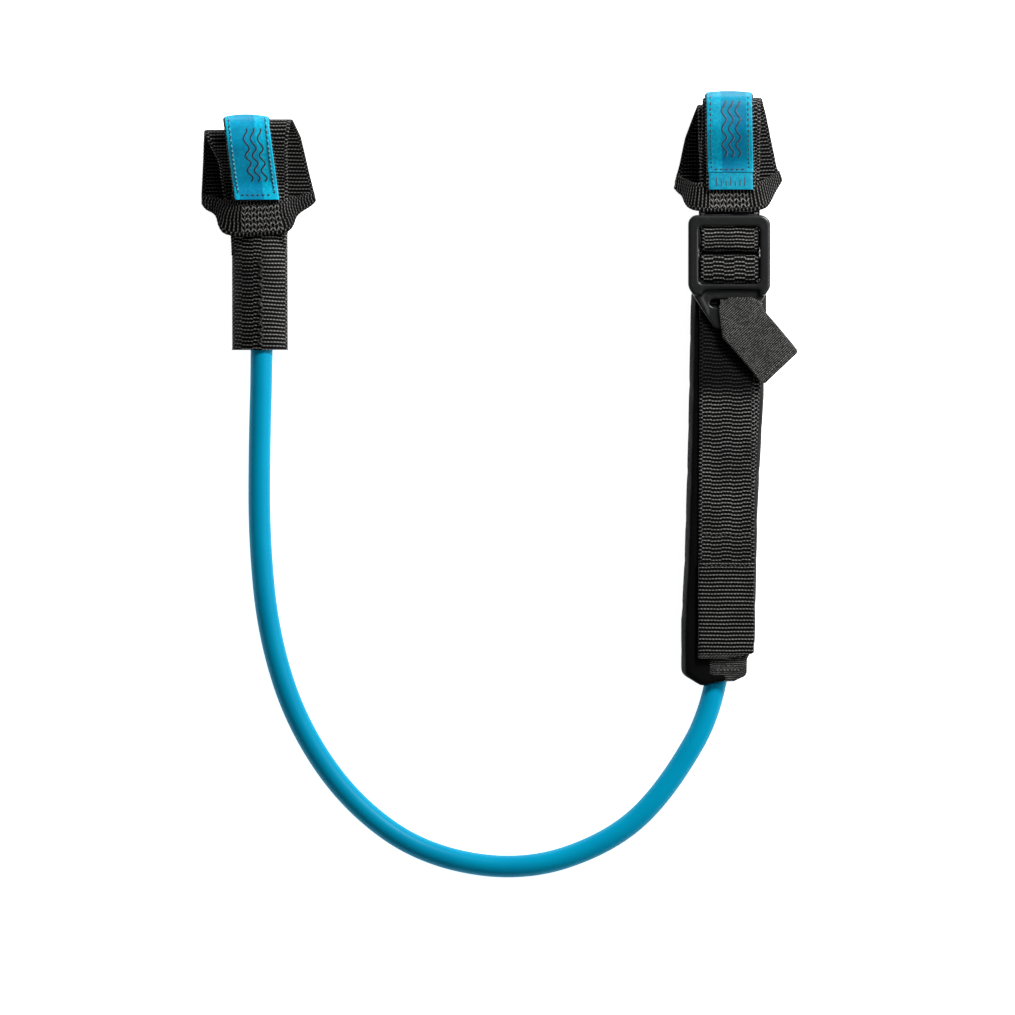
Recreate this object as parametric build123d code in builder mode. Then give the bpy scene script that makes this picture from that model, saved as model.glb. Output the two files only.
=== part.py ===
from build123d import *

import os
from math import pi, radians, tan

# An adjustable windsurf harness line, lying flat: a stiff tube bent to a U, a fixed boom loop on its
# left end, and on its right end a sleeve, a ladder-lock buckle and a second boom loop that slide out
# to lengthen the line. Millimetres. +X runs from the left loop to the right loop, +Y from the bend of
# the U to the loops, and +Z up from the surface that the line lies on.

# ---- driving dimensions ----
WEB = 1.5  # thickness of the 25 mm webbing
GAP = 0.3  # air between neighbouring layers
STRAP_T = 1.4  # thickness of the load strap
FLAP_T = 2.0  # folded label flap, two layers of thin webbing
LABEL_T = 0.5
THREAD = 0.5  # width of a sewing stitch
THREAD_T = 0.3  # how far a stitch stands out
TUBE_R = 4.75  # 3/8 inch tube
TUBE_BORE_R = 3.2
ROPE_R = 3.0
LEFT_TUBE_Z = WEB + TUBE_R  # height of the tube's axis in the left sleeve
RIGHT_TUBE_Z = 5.9  # and in the right sleeve
REACH = 150.0  # longer than any strap is wide, for cutting outlines
TALL = 40.0  # higher than the whole line

# adjuster, on an axis that leans a little to the right
LEAN = (6.2, 170.0)  # how far right and how far up the adjuster runs
BUCKLE_X = 99.05  # middle of the buckle
BUCKLE_Z = 16.0  # underside of the buckle
BUCKLE_T = 5.0
LIP_T = 2.5
BAR_Z = 18.5  # middle of both cross bars
BAR_T = 2.4
FIXED_BAR_Y = 64.0
FIXED_BAR_W = 6.4
GRIP_BAR_Y = 51.5
GRIP_BAR_W = 8.0
STRAP_HALF = 12.0  # half of the adjuster strap's width
TAIL_Z = 14.95  # middle of the tail, lying on the sleeve
LOAD_Z = 11.65  # middle of the load strap, inside the sleeve
SLEEVE_T = 13.9
SLOT_Y = 36.6

os.makedirs("parts", exist_ok=True)


def save(piece, label):
    """Names a finished piece and writes its STEP file."""
    piece.part.label = label
    export_step(piece.part, f"parts/{label}.step")


def strap(side_view, corner_radii, outline, thickness=WEB):
    """Webbing that follows a side view of (y, z) points and is cut to an outline seen from above."""
    with BuildPart() as piece:
        with BuildSketch(Plane.YZ):
            with BuildLine():
                if corner_radii:
                    FilletPolyline(*side_view, radius=corner_radii)
                else:
                    Polyline(*side_view)
            trace(line_width=thickness)
        extrude(amount=REACH, both=True)
        with BuildSketch(Plane.XY.offset(-1)):
            with BuildLine():
                Polyline(*outline, close=True)
            make_face()
        extrude(amount=TALL, mode=Mode.INTERSECT)
    return piece


def layers(*straps):
    """Several separate straps in one node."""
    with BuildPart() as piece:
        for one in straps:
            add(one.part)
    return piece


def stitches(places, length=1.7):
    """Short raised stitches; each place is (x, y, z, turn about Z, slope about X) of a stitch."""
    with BuildPart() as piece:
        for x, y, z, turn, slope in places:
            with Locations(Location((x, y, z), (slope, 0, turn))):
                Box(THREAD, length, THREAD_T, align=(Align.CENTER, Align.CENTER, Align.MIN))
    return piece


def band(x_low, x_high, y_low, y_high, top_z, left_foot_z, right_foot_z):
    """The bight of a boom loop: it crosses over the strap and goes down on both sides of it."""
    lean_out = 1.2
    with BuildPart() as piece:
        with BuildSketch(Plane.XZ.offset(-y_high)):
            with BuildLine():
                FilletPolyline(
                    (x_low - lean_out, left_foot_z),
                    (x_low, top_z),
                    (x_high, top_z),
                    (x_high + lean_out, right_foot_z),
                    radius=[2.4, 2.4],
                )
            trace(line_width=WEB)
        extrude(amount=y_high - y_low)
    return piece


def zigzag(x_low, x_high, y_low, y_high, rows, pitch, z, turn=35):
    """Rows of slanted stitches across a flat piece of webbing."""
    count = int((x_high - x_low) / pitch)
    places = []
    for row in range(rows):
        y = y_low + (y_high - y_low) * row / max(rows - 1, 1)
        for i in range(count + 1):
            side = turn if (i + row) % 2 else -turn
            places.append((x_low + i * pitch, y, z, side, 0))
    return places


def border(side_view, x_of, half_width, y_low, y_high, pitch=2.6):
    """Stitches along both edges and the lower end of a label that follows (y, z) side-view points."""
    places = []
    for (y0, z0), (y1, z1) in zip(side_view, side_view[1:]):
        slope = Vector(1, 0, 0).get_angle(Vector(y1 - y0, z1 - z0, 0))
        run = Vector(y1 - y0, z1 - z0, 0).length
        margin = 3.0
        steps = max(1, int((run - 2 * margin) / pitch)) if run > 2 * margin else 1
        for i in range(steps + 1):
            share = (margin + (run - 2 * margin) * i / steps) / run
            y = y0 + (y1 - y0) * share
            z = z0 + (z1 - z0) * share
            if y_low < y < y_high:
                for side in (-1, 1):
                    places.append((x_of(y) + side * half_width, y, z, 0, slope))
    y_end, z_end = side_view[0]
    across = 6
    for i in range(1, across):
        x = x_of(y_end) - half_width + 2 * half_width * i / across
        places.append((x, y_end + 2.0, z_end, 90, 0))
    return places


# ---- tube and its rope core: one route from the left sleeve round the U into the right sleeve ----
ROUTE = [
    (-102.6, 54.0, LEFT_TUBE_Z),
    (-102.3, 14.5, LEFT_TUBE_Z),
    (-103.5, -26.0, TUBE_R),
    (-103.5, -66.0, TUBE_R + 0.02),
    (-99.5, -106.5, TUBE_R),
    (-87.5, -144.5, TUBE_R),
    (-64.5, -178.5, TUBE_R),
    (-32.5, -201.5, TUBE_R),
    (10.5, -208.5, TUBE_R),
    (48.5, -195.5, TUBE_R),
    (72.0, -173.5, TUBE_R),
    (96.0, -131.5, RIGHT_TUBE_Z),
    (96.5, -92.0, RIGHT_TUBE_Z),
]


def corner_radii(points):
    """The largest even arc at each corner: 0.45 of the shorter run over the tangent of half the turn."""
    radii = []
    for before, here, after in zip(points, points[1:], points[2:]):
        run_in = Vector(*here) - Vector(*before)
        run_out = Vector(*after) - Vector(*here)
        half_turn = radians(run_in.get_angle(run_out) / 2)
        radii.append(0.45 * min(run_in.length, run_out.length) / tan(half_turn))
    return radii


radii = corner_radii(ROUTE)
print("route radii", [round(r) for r in radii])

with BuildLine() as route:
    FilletPolyline(*ROUTE, radius=radii)
route_wire = route.wire()
start_plane = Plane(origin=route_wire @ 0, z_dir=route_wire % 0)

with BuildPart() as tube:
    with BuildSketch(start_plane):
        Circle(TUBE_R)
        Circle(TUBE_BORE_R, mode=Mode.SUBTRACT)
    sweep(path=route_wire)
save(tube, "tube")

with BuildPart() as rope_core:
    with BuildSketch(start_plane):
        Circle(ROPE_R)
    sweep(path=route_wire)
save(rope_core, "rope_core")

ring = pi * (TUBE_R**2 - TUBE_BORE_R**2)
print("route length", round(route_wire.length, 1))
print("tube volume over section x length", round(tube.part.volume / (ring * route_wire.length), 4))

# ---- left sleeve: two webbing layers sewn round the tube's end ----
LEFT_X = -103.2
SLEEVE_HALF = 12.3
LEFT_SLEEVE_LOW = 16.4
LEFT_SLEEVE_HIGH = 57.0
ARCH_H = 11.1  # how far the front layer stands over the back layer

with BuildPart() as left_sleeve_back:
    with BuildSketch(Plane.XY):
        with BuildLine():
            Polyline(
                (LEFT_X - SLEEVE_HALF, LEFT_SLEEVE_HIGH),
                (LEFT_X - SLEEVE_HALF + 1.6, LEFT_SLEEVE_LOW),
                (LEFT_X + SLEEVE_HALF, LEFT_SLEEVE_LOW + 1.6),
                (LEFT_X + SLEEVE_HALF - 1.0, LEFT_SLEEVE_HIGH),
                close=True,
            )
        make_face()
    extrude(amount=WEB)
save(left_sleeve_back, "left_sleeve_back")

with BuildPart() as left_sleeve_front:
    with BuildSketch(Plane.XZ.offset(-LEFT_SLEEVE_HIGH)):
        with Locations((LEFT_X, WEB)):
            Ellipse(SLEEVE_HALF, ARCH_H)
            Ellipse(SLEEVE_HALF - WEB, ARCH_H - WEB, mode=Mode.SUBTRACT)
            Rectangle(REACH, REACH, align=(Align.CENTER, Align.MAX), mode=Mode.SUBTRACT)
    extrude(amount=LEFT_SLEEVE_HIGH - LEFT_SLEEVE_LOW)
save(left_sleeve_front, "left_sleeve_front")

SEAM_PITCH = 2.6
seam_rows = int((LEFT_SLEEVE_HIGH - LEFT_SLEEVE_LOW - 4) / SEAM_PITCH)
left_sleeve_seam = stitches(
    [
        (LEFT_X + 0.2, LEFT_SLEEVE_LOW + 3 + i * SEAM_PITCH, WEB + ARCH_H, 40 if i % 2 else -40, 0)
        for i in range(seam_rows + 1)
    ]
)
save(left_sleeve_seam, "left_sleeve_seam")

# ---- left boom loop: the two sleeve layers go up over the boom and come down behind ----
LEFT_OUTER = [
    (57.3, 11.2), (66.0, 9.8), (89.0, 9.8), (102.0, 22.0), (115.1, 22.0), (115.1, 0.75), (79.0, 0.75),
]  # fmt: skip
LEFT_INNER = [
    (57.3, 3.0), (66.0, 8.0), (89.7, 8.0), (102.1, 19.6), (110.6, 19.6), (110.6, 2.55), (76.4, 2.55),
]  # fmt: skip
LEFT_APEX_OUTER = 11.4  # height at which the outer layer's front and back halves meet
LEFT_APEX_INNER = 11.0


def halves(points, radii, split_z, front_outline, back_outline):
    """Front and back halves of one loop layer, which meet face to face at its far end."""
    top = len(points) - 3  # the corner at which the layer turns down and back
    far_y = points[top][0]
    front = points[: top + 1] + [(far_y, split_z)]
    back = [(far_y, split_z)] + points[top + 1 :]
    return strap(front, radii[:top], front_outline), strap(back, radii[top:], back_outline)


left_outer_front, left_outer_back = halves(
    LEFT_OUTER,
    [12, 10, 8, 7, 8],
    LEFT_APEX_OUTER,
    [(-115.4, 57), (-115.4, 96), (-114.6, 117), (-89.9, 117), (-91.5, 104), (-91.0, 57)],
    [(-114.0, 117), (-89.9, 117), (-85.6, 108.5), (-83.8, 101), (-78.7, 79), (-103.0, 76)],
)
left_inner_front, left_inner_back = halves(
    LEFT_INNER,
    [12, 11.8, 4, 6, 6],
    LEFT_APEX_INNER,
    [(-115.6, 57), (-115.9, 66), (-118.7, 81), (-121.0, 97), (-126.9, 109), (-126.9, 113),
     (-102.0, 113), (-95.0, 85), (-91.4, 57)],
    [(-127.2, 113), (-128.65, 78), (-127.5, 75), (-104.5, 75), (-103.0, 113)],
)  # fmt: skip
left_loop_front = layers(left_outer_front, left_inner_front)
save(left_loop_front, "left_loop_front")
left_loop_back = layers(left_outer_back, left_inner_back)
save(left_loop_back, "left_loop_back")

LEFT_BAND_Y = (65.0, 79.6)
LEFT_BAND_Z = 11.6
left_band = band(-121.6, -86.6, *LEFT_BAND_Y, LEFT_BAND_Z, 3.7, 1.8)
save(left_band, "left_band")

left_band_tacks = stitches(
    zigzag(-110.5, -93.5, LEFT_BAND_Y[0] + 3, LEFT_BAND_Y[1] - 3, 4, 2.4, LEFT_BAND_Z + WEB / 2)
)
save(left_band_tacks, "left_band_tacks")

# ---- left label flap, hinged at the top of the loop ----
FLAP_RADII = [4, 4]
LABEL_LIFT = (FLAP_T + LABEL_T) / 2 + 0.02
LABEL_RADII = [FLAP_RADII[0] - LABEL_LIFT, FLAP_RADII[1] + LABEL_LIFT]
THREAD_LIFT = LABEL_LIFT + LABEL_T / 2 + 0.02
LEFT_FLAP = [(80.8, 13.8), (90.3, 13.8), (101.6, 24.4), (117.0, 24.4)]


def left_flap_x(y):
    """Middle of the left flap, which leans to the left at its top."""
    return -104.4 - 0.135 * (y - 81.0)


def right_flap_x(y):
    """Middle of the right flap, which is nearly upright."""
    return 99.6 - 0.02 * (y - 93.0)


def lifted(side_view, lift):
    """The side view of a layer whose middle lies a distance above that of another layer."""
    points = [Vector(y, z) for y, z in side_view]
    ups = [(b - a).normalized().rotate(Axis.Z, 90) for a, b in zip(points, points[1:])]
    moved = [points[0] + ups[0] * lift]
    for point, before, after in zip(points[1:], ups, ups[1:]):
        moved.append(point + (before + after) * (lift / (1 + before.dot(after))))
    moved.append(points[-1] + ups[-1] * lift)
    return [(point.X, point.Y) for point in moved]


def flap_outline(x_of, half_width, y_low, y_high):
    return [
        (x_of(y_low) - half_width, y_low),
        (x_of(y_high) - half_width, y_high),
        (x_of(y_high) + half_width, y_high),
        (x_of(y_low) + half_width, y_low),
    ]


left_label_flap = strap(LEFT_FLAP, FLAP_RADII, flap_outline(left_flap_x, 9.6, 70, 125), FLAP_T)
save(left_label_flap, "left_label_flap")
left_label = strap(
    lifted(LEFT_FLAP, LABEL_LIFT), LABEL_RADII, flap_outline(left_flap_x, 9.6, 81.2, 116.6), LABEL_T
)
save(left_label, "left_label")
left_label_stitching = stitches(border(lifted(LEFT_FLAP, THREAD_LIFT), left_flap_x, 7.8, 82, 113))
save(left_label_stitching, "left_label_stitching")

# ---- right boom loop ----
RIGHT_OUTER = [
    (75.4, 13.85), (97.0, 13.85), (110.0, 24.0), (124.4, 24.0), (124.4, 0.75), (86.0, 0.75),
]  # fmt: skip
RIGHT_INNER = [
    (75.4, 12.05), (97.7, 12.05), (110.2, 21.6), (121.4, 21.6), (121.4, 2.55), (86.0, 2.55),
]  # fmt: skip

right_outer_front, right_outer_back = halves(
    RIGHT_OUTER,
    [10, 8, 7, 8],
    12.4,
    [(86.6, 75), (86.6, 96), (87.6, 126), (112.6, 126), (112.2, 96), (111.2, 75)],
    [(88.0, 126), (112.7, 126), (115.0, 118), (119.3, 96), (123.0, 87), (119.8, 84), (98.6, 84)],
)
right_inner_front, right_inner_back = halves(
    RIGHT_INNER,
    [11.8, 6.2, 6, 6],
    12.0,
    [(86.2, 75), (86.2, 96), (85.4, 123), (109.6, 123), (111.0, 96), (110.8, 75)],
    [(85.6, 123), (80.0, 108), (77.4, 96), (74.9, 84), (95.6, 84), (108.0, 123)],
)
right_loop_front = layers(right_outer_front, right_inner_front)
save(right_loop_front, "right_loop_front")
right_loop_back = layers(right_outer_back, right_inner_back)
save(right_loop_back, "right_loop_back")

RIGHT_BAND_Y = (76.5, 88.0)
RIGHT_BAND_Z = 15.65
right_band = band(82.2, 115.8, *RIGHT_BAND_Y, RIGHT_BAND_Z, 3.7, 1.8)
save(right_band, "right_band")

right_band_tacks = stitches(
    zigzag(90.0, 108.0, RIGHT_BAND_Y[0] + 3, RIGHT_BAND_Y[1] - 4, 2, 2.4, RIGHT_BAND_Z + WEB / 2)
)
save(right_band_tacks, "right_band_tacks")

RIGHT_FLAP = [(85.4, 17.8), (98.2, 17.8), (109.6, 26.4), (128.4, 26.4)]
LABEL_FOOT_Y = 93.0  # where the size label ends and the larger label starts

right_label_flap = strap(RIGHT_FLAP, FLAP_RADII, flap_outline(right_flap_x, 10.0, 70, 135), FLAP_T)
save(right_label_flap, "right_label_flap")
right_label = strap(
    lifted(RIGHT_FLAP, LABEL_LIFT),
    LABEL_RADII,
    flap_outline(right_flap_x, 9.8, LABEL_FOOT_Y + 0.1, 128.0),
    LABEL_T,
)
save(right_label, "right_label")
size_label = strap(
    lifted(RIGHT_FLAP, LABEL_LIFT),
    LABEL_RADII,
    flap_outline(right_flap_x, 9.5, 85.6, LABEL_FOOT_Y - 0.1),
    LABEL_T,
)
save(size_label, "size_label")
right_label_top = [(LABEL_FOOT_Y, lifted(RIGHT_FLAP, THREAD_LIFT)[0][1])]
right_label_top += lifted(RIGHT_FLAP, THREAD_LIFT)[1:]
right_label_stitching = stitches(border(right_label_top, right_flap_x, 8.0, 94, 124))
save(right_label_stitching, "right_label_stitching")

# ---- buckle: a ladder lock with a window, two cross bars and a lifting lip ----
BUCKLE_HALF = 17.8
BUCKLE_TOP = 74.6
LIP_START = 43.5
LIP_END = 25.4
WINDOW_HALF = 13.2
WINDOW_Y = (44.9, 69.8)
SLOT_HALF = 8.4
SLOT_W = 3.4
RIM_T = 0.25
RIM_LOW_Y = 40.0

with BuildPart() as buckle:
    with BuildSketch(Plane.XY.offset(BUCKLE_Z)):
        with BuildLine():
            FilletPolyline(
                (BUCKLE_X - BUCKLE_HALF, BUCKLE_TOP),
                (BUCKLE_X - BUCKLE_HALF, LIP_START),
                (BUCKLE_X - 11.2, 33.0),
                (BUCKLE_X - 6.0, LIP_END),
                (BUCKLE_X + 6.0, LIP_END),
                (BUCKLE_X + 11.2, 33.0),
                (BUCKLE_X + BUCKLE_HALF, LIP_START),
                (BUCKLE_X + BUCKLE_HALF, BUCKLE_TOP),
                radius=[4, 6, 4, 4, 6, 4, 4.5, 4.5],
                close=True,
            )
        make_face()
    extrude(amount=BUCKLE_T)
    # the lip is a thinner plate with a raised rim
    with BuildSketch(Plane.XY.offset(BUCKLE_Z + LIP_T)):
        with BuildLine():
            FilletPolyline(
                (BUCKLE_X - BUCKLE_HALF + 4.0, 42.4),
                (BUCKLE_X - 9.4, 34.0),
                (BUCKLE_X - 9.4, 20.0),
                (BUCKLE_X + 9.4, 20.0),
                (BUCKLE_X + 9.4, 34.0),
                (BUCKLE_X + BUCKLE_HALF - 4.0, 42.4),
                radius=[3, 0.5, 0.5, 3, 1.0, 1.0],
                close=True,
            )
        make_face()
    extrude(amount=BUCKLE_T, mode=Mode.SUBTRACT)
    with BuildSketch(Plane.XY.offset(BUCKLE_Z)):
        with Locations((BUCKLE_X, (WINDOW_Y[0] + WINDOW_Y[1]) / 2)):
            RectangleRounded(2 * WINDOW_HALF, WINDOW_Y[1] - WINDOW_Y[0], 2.0)
        with Locations((BUCKLE_X, SLOT_Y)):
            SlotOverall(2 * SLOT_HALF, SLOT_W)
    extrude(amount=BUCKLE_T, mode=Mode.SUBTRACT)
    for bar_y, bar_w in ((FIXED_BAR_Y, FIXED_BAR_W), (GRIP_BAR_Y, GRIP_BAR_W)):
        with BuildSketch(Plane.YZ.offset(BUCKLE_X - WINDOW_HALF - 1)):
            with Locations((bar_y, BAR_Z)):
                RectangleRounded(bar_w, BAR_T, 1.0)
        extrude(amount=2 * WINDOW_HALF + 2)
    fillet(buckle.faces().sort_by(Axis.Z)[-1].outer_wire().edges(), radius=0.9)
    # towards its end the lip's rim is low, so that the release tab lies flat over it
    with BuildSketch(Plane.XY.offset(BUCKLE_Z + LIP_T + RIM_T)):
        with Locations((BUCKLE_X, RIM_LOW_Y)):
            Rectangle(3 * BUCKLE_HALF, 3 * BUCKLE_HALF, align=(Align.CENTER, Align.MAX))
    extrude(amount=BUCKLE_T, mode=Mode.SUBTRACT)
save(buckle, "buckle")

# ---- fixed strap: from the boom loop down round the fixed bar and back ----
FIXED_STRAP = [
    (74.7, 13.85), (68.2, 13.85), (68.2, 20.75), (59.8, 20.75), (59.8, 16.0), (66.0, 12.05), (74.7, 12.05),
]  # fmt: skip
fixed_outline = [(87.0, 50), (87.0, 80), (111.2, 80), (111.2, 50)]
fixed_strap = strap(FIXED_STRAP, [1.2, 1.8, 1.8, 2.0, 3.0], fixed_outline)
save(fixed_strap, "fixed_strap")

# ---- adjuster strap: its roll over the grip bar, the load strap and the free tail ----
GRIP_ROLL = [
    (44.6, 12.6), (56.5, 15.4), (56.5, 20.75), (46.5, 20.75), (46.5, TAIL_Z), (44.6, TAIL_Z),
]  # fmt: skip
grip_roll = strap(GRIP_ROLL, [1.6, 1.9, 1.9, 0.9], [(86.6, 40), (86.6, 60), (111.4, 60), (111.4, 40)])
save(grip_roll, "grip_roll")

STRAP_END_Y = 44.2
LOAD_END_Y = -113.0


def adjuster_x(y):
    """Middle line of the sleeve and of the strap that slides in it."""
    return 98.5 + (y - STRAP_END_Y) * LEAN[0] / LEAN[1]


load_outline = [
    (adjuster_x(60) - STRAP_HALF, 60),
    (adjuster_x(LOAD_END_Y) - STRAP_HALF, LOAD_END_Y),
    (adjuster_x(LOAD_END_Y) + STRAP_HALF, LOAD_END_Y),
    (adjuster_x(60) + STRAP_HALF, 60),
]
load_strap = strap([(STRAP_END_Y, 12.4), (41.9, LOAD_Z), (-120.0, LOAD_Z)], [2], load_outline, STRAP_T)
save(load_strap, "load_strap")

tail_strap = strap(
    [(STRAP_END_Y, TAIL_Z), (-120.0, TAIL_Z)],
    [],
    [(86.4, 60), (85.6, -117.2), (109.7, -115.6), (110.1, 60)],
)
save(tail_strap, "tail_strap")

TAIL_FOLD_T = 1.0
tail_fold_z = TAIL_Z + WEB / 2 + TAIL_FOLD_T / 2
tail_fold = strap(
    [(-74.6, tail_fold_z), (-120.0, tail_fold_z)],
    [],
    [(85.9, -60), (85.6, -117.2), (109.7, -115.6), (109.9, -60)],
    TAIL_FOLD_T,
)
save(tail_fold, "tail_fold")

tail_top = TAIL_Z + WEB / 2
tail_stitching = stitches(
    [(87.6 + i * 2.1, -63.4, tail_top, 75 if i % 2 else 105, 0) for i in range(11)]
    + [(87.6 + i * 2.1, -76.6, tail_top + TAIL_FOLD_T, 75 if i % 2 else 105, 0) for i in range(11)]
)
save(tail_stitching, "tail_stitching")

# ---- right sleeve: a padded cover, hollow for the load strap and the tube's end ----
SLEEVE_TOP = 41.2
CHANNEL_HALF = STRAP_HALF + 0.4
CHANNEL_Z = (10.75, 12.65)
TUBE_CLEAR = 0.1

with BuildPart() as right_sleeve:
    with BuildSketch(Plane.XY):
        with BuildLine():
            FilletPolyline(
                (82.4, SLEEVE_TOP),
                (81.2, -20.0),
                (79.6, -75.0),
                (78.2, -100.0),
                (78.2, -123.0),
                (87.0, -128.4),
                (98.2, -126.6),
                (98.6, -119.5),
                (106.4, -117.6),
                (110.2, -110.0),
                (111.4, -52.0),
                (114.2, 1.0),
                (115.4, SLEEVE_TOP),
                radius=[0.5, 60, 60, 20, 4, 3, 1.5, 1.2, 3, 5, 80, 60, 0.5],
                close=True,
            )
        make_face()
    extrude(amount=SLEEVE_T)
    fillet(right_sleeve.faces().sort_by(Axis.Z)[-1].outer_wire().edges(), radius=1.0)
    with BuildSketch(Plane.XY.offset(CHANNEL_Z[0])):
        with BuildLine():
            Polyline(
                (adjuster_x(60) - CHANNEL_HALF, 60),
                (adjuster_x(-140) - CHANNEL_HALF, -140),
                (adjuster_x(-140) + CHANNEL_HALF, -140),
                (adjuster_x(60) + CHANNEL_HALF, 60),
                close=True,
            )
        make_face()
    extrude(amount=CHANNEL_Z[1] - CHANNEL_Z[0], mode=Mode.SUBTRACT)
    with BuildSketch(start_plane):
        Circle(TUBE_R + TUBE_CLEAR)
    sweep(path=route_wire, mode=Mode.SUBTRACT)
save(right_sleeve, "right_sleeve")

# webbing that holds the tube, showing below the cover
right_sleeve_end = strap(
    [(-114.0, LOAD_Z), (-127.0, LOAD_Z)],
    [],
    [(84.0, -100), (84.0, -124.0), (98.4, -126.6), (104.6, -124.6), (104.8, -100)],
    STRAP_T,
)
save(right_sleeve_end, "right_sleeve_end")

# ---- release tab: ribbon through the lip's slot, lying over the lip and down to the right ----
TAB_T = 1.2
TAB_Z = BUCKLE_Z + LIP_T + RIM_T + GAP + TAB_T / 2
TAB_SLOT_T = 1.0

with BuildPart() as release_tab:
    with BuildSketch(Plane.XY.offset(TAB_Z - TAB_T / 2)):
        with BuildLine():
            FilletPolyline(
                (97.2, 36.9),
                (104.6, 36.9),
                (106.8, 35.9),
                (112.6, 35.4),
                (114.2, 33.4),
                (126.3, 19.2),
                (128.65, 16.2),
                (128.4, 14.6),
                (114.8, 1.6),
                (112.3, 2.8),
                (102.6, 14.4),
                (96.2, 21.6),
                (95.6, 34.6),
                radius=[0.8, 0.5, 1.5, 1, 10, 1.0, 0.5, 0.8, 0.8, 10, 5, 4, 1.5],
                close=True,
            )
        make_face()
    extrude(amount=TAB_T)
    with BuildSketch(Plane.XY.offset(BUCKLE_Z + LIP_T - 1.2)):
        with Locations((102.0, SLOT_Y)):
            Rectangle(9.0, TAB_SLOT_T)
    extrude(amount=1.2 + RIM_T + GAP)
save(release_tab, "release_tab")

tab_top = TAB_Z + TAB_T / 2
release_tab_stitching = stitches(
    [(115.2 + i * 1.38, 6.2 + i * 1.3, tab_top, -47, 0) for i in range(9)], length=1.2
)
save(release_tab_stitching, "release_tab_stitching")
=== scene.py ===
from math import acos, cos, pi, radians, sin, tan

import bmesh
import bpy
import numpy as np
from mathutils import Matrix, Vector


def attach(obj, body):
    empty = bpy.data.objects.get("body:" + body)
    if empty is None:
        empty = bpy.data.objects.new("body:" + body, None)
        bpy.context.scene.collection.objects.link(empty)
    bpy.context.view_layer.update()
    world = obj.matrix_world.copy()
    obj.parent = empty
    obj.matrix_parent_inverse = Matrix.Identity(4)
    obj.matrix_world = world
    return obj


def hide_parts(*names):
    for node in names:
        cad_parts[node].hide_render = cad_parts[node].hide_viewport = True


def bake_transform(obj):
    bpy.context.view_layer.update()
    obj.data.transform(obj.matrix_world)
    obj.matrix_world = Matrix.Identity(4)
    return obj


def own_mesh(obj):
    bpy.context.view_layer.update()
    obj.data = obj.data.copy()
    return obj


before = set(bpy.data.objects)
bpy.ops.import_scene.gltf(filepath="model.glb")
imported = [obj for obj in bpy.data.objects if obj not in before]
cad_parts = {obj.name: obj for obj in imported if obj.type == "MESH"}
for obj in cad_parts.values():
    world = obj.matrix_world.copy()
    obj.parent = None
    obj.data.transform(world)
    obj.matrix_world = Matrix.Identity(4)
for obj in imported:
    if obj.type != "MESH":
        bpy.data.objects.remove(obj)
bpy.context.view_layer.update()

# Looks of the adjustable harness line. Shapes are worked out in millimetres, as in the CAD, and
# scaled when a mesh is made. +X runs from the left loop to the right one, +Y from the bend of the
# tube to the loops.
MM = 0.001


def new_object(name, data):
    """An object that is in the scene."""
    made = bpy.data.objects.new(name, data)
    bpy.context.collection.objects.link(made)
    return made


# ---- camera: straight above, upright, with the whole line in view ----
VIEW_WIDTH = 0.4375
VIEW_CENTRE = (0.00345, -0.0515)
CAMERA_HEIGHT = 1.0

camera_data = bpy.data.cameras.new("camera")
camera_data.type = "ORTHO"
camera_data.ortho_scale = VIEW_WIDTH
camera = new_object("camera", camera_data)
camera.location = (*VIEW_CENTRE, CAMERA_HEIGHT)
bpy.context.scene.camera = camera

# ---- sizes shared with the CAD ----
WEB = 1.5
TUBE_R = 4.75
LEFT_TUBE_Z = WEB + TUBE_R
RIGHT_TUBE_Z = 5.9
LABEL_LIFT = 1.27
TAIL_Z = 14.95
LOAD_Z = 11.65

# ---- sizes that only the looks use ----
LABEL_TOP = LABEL_LIFT + 0.25
ROWS_PER_RIB = 6


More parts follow.
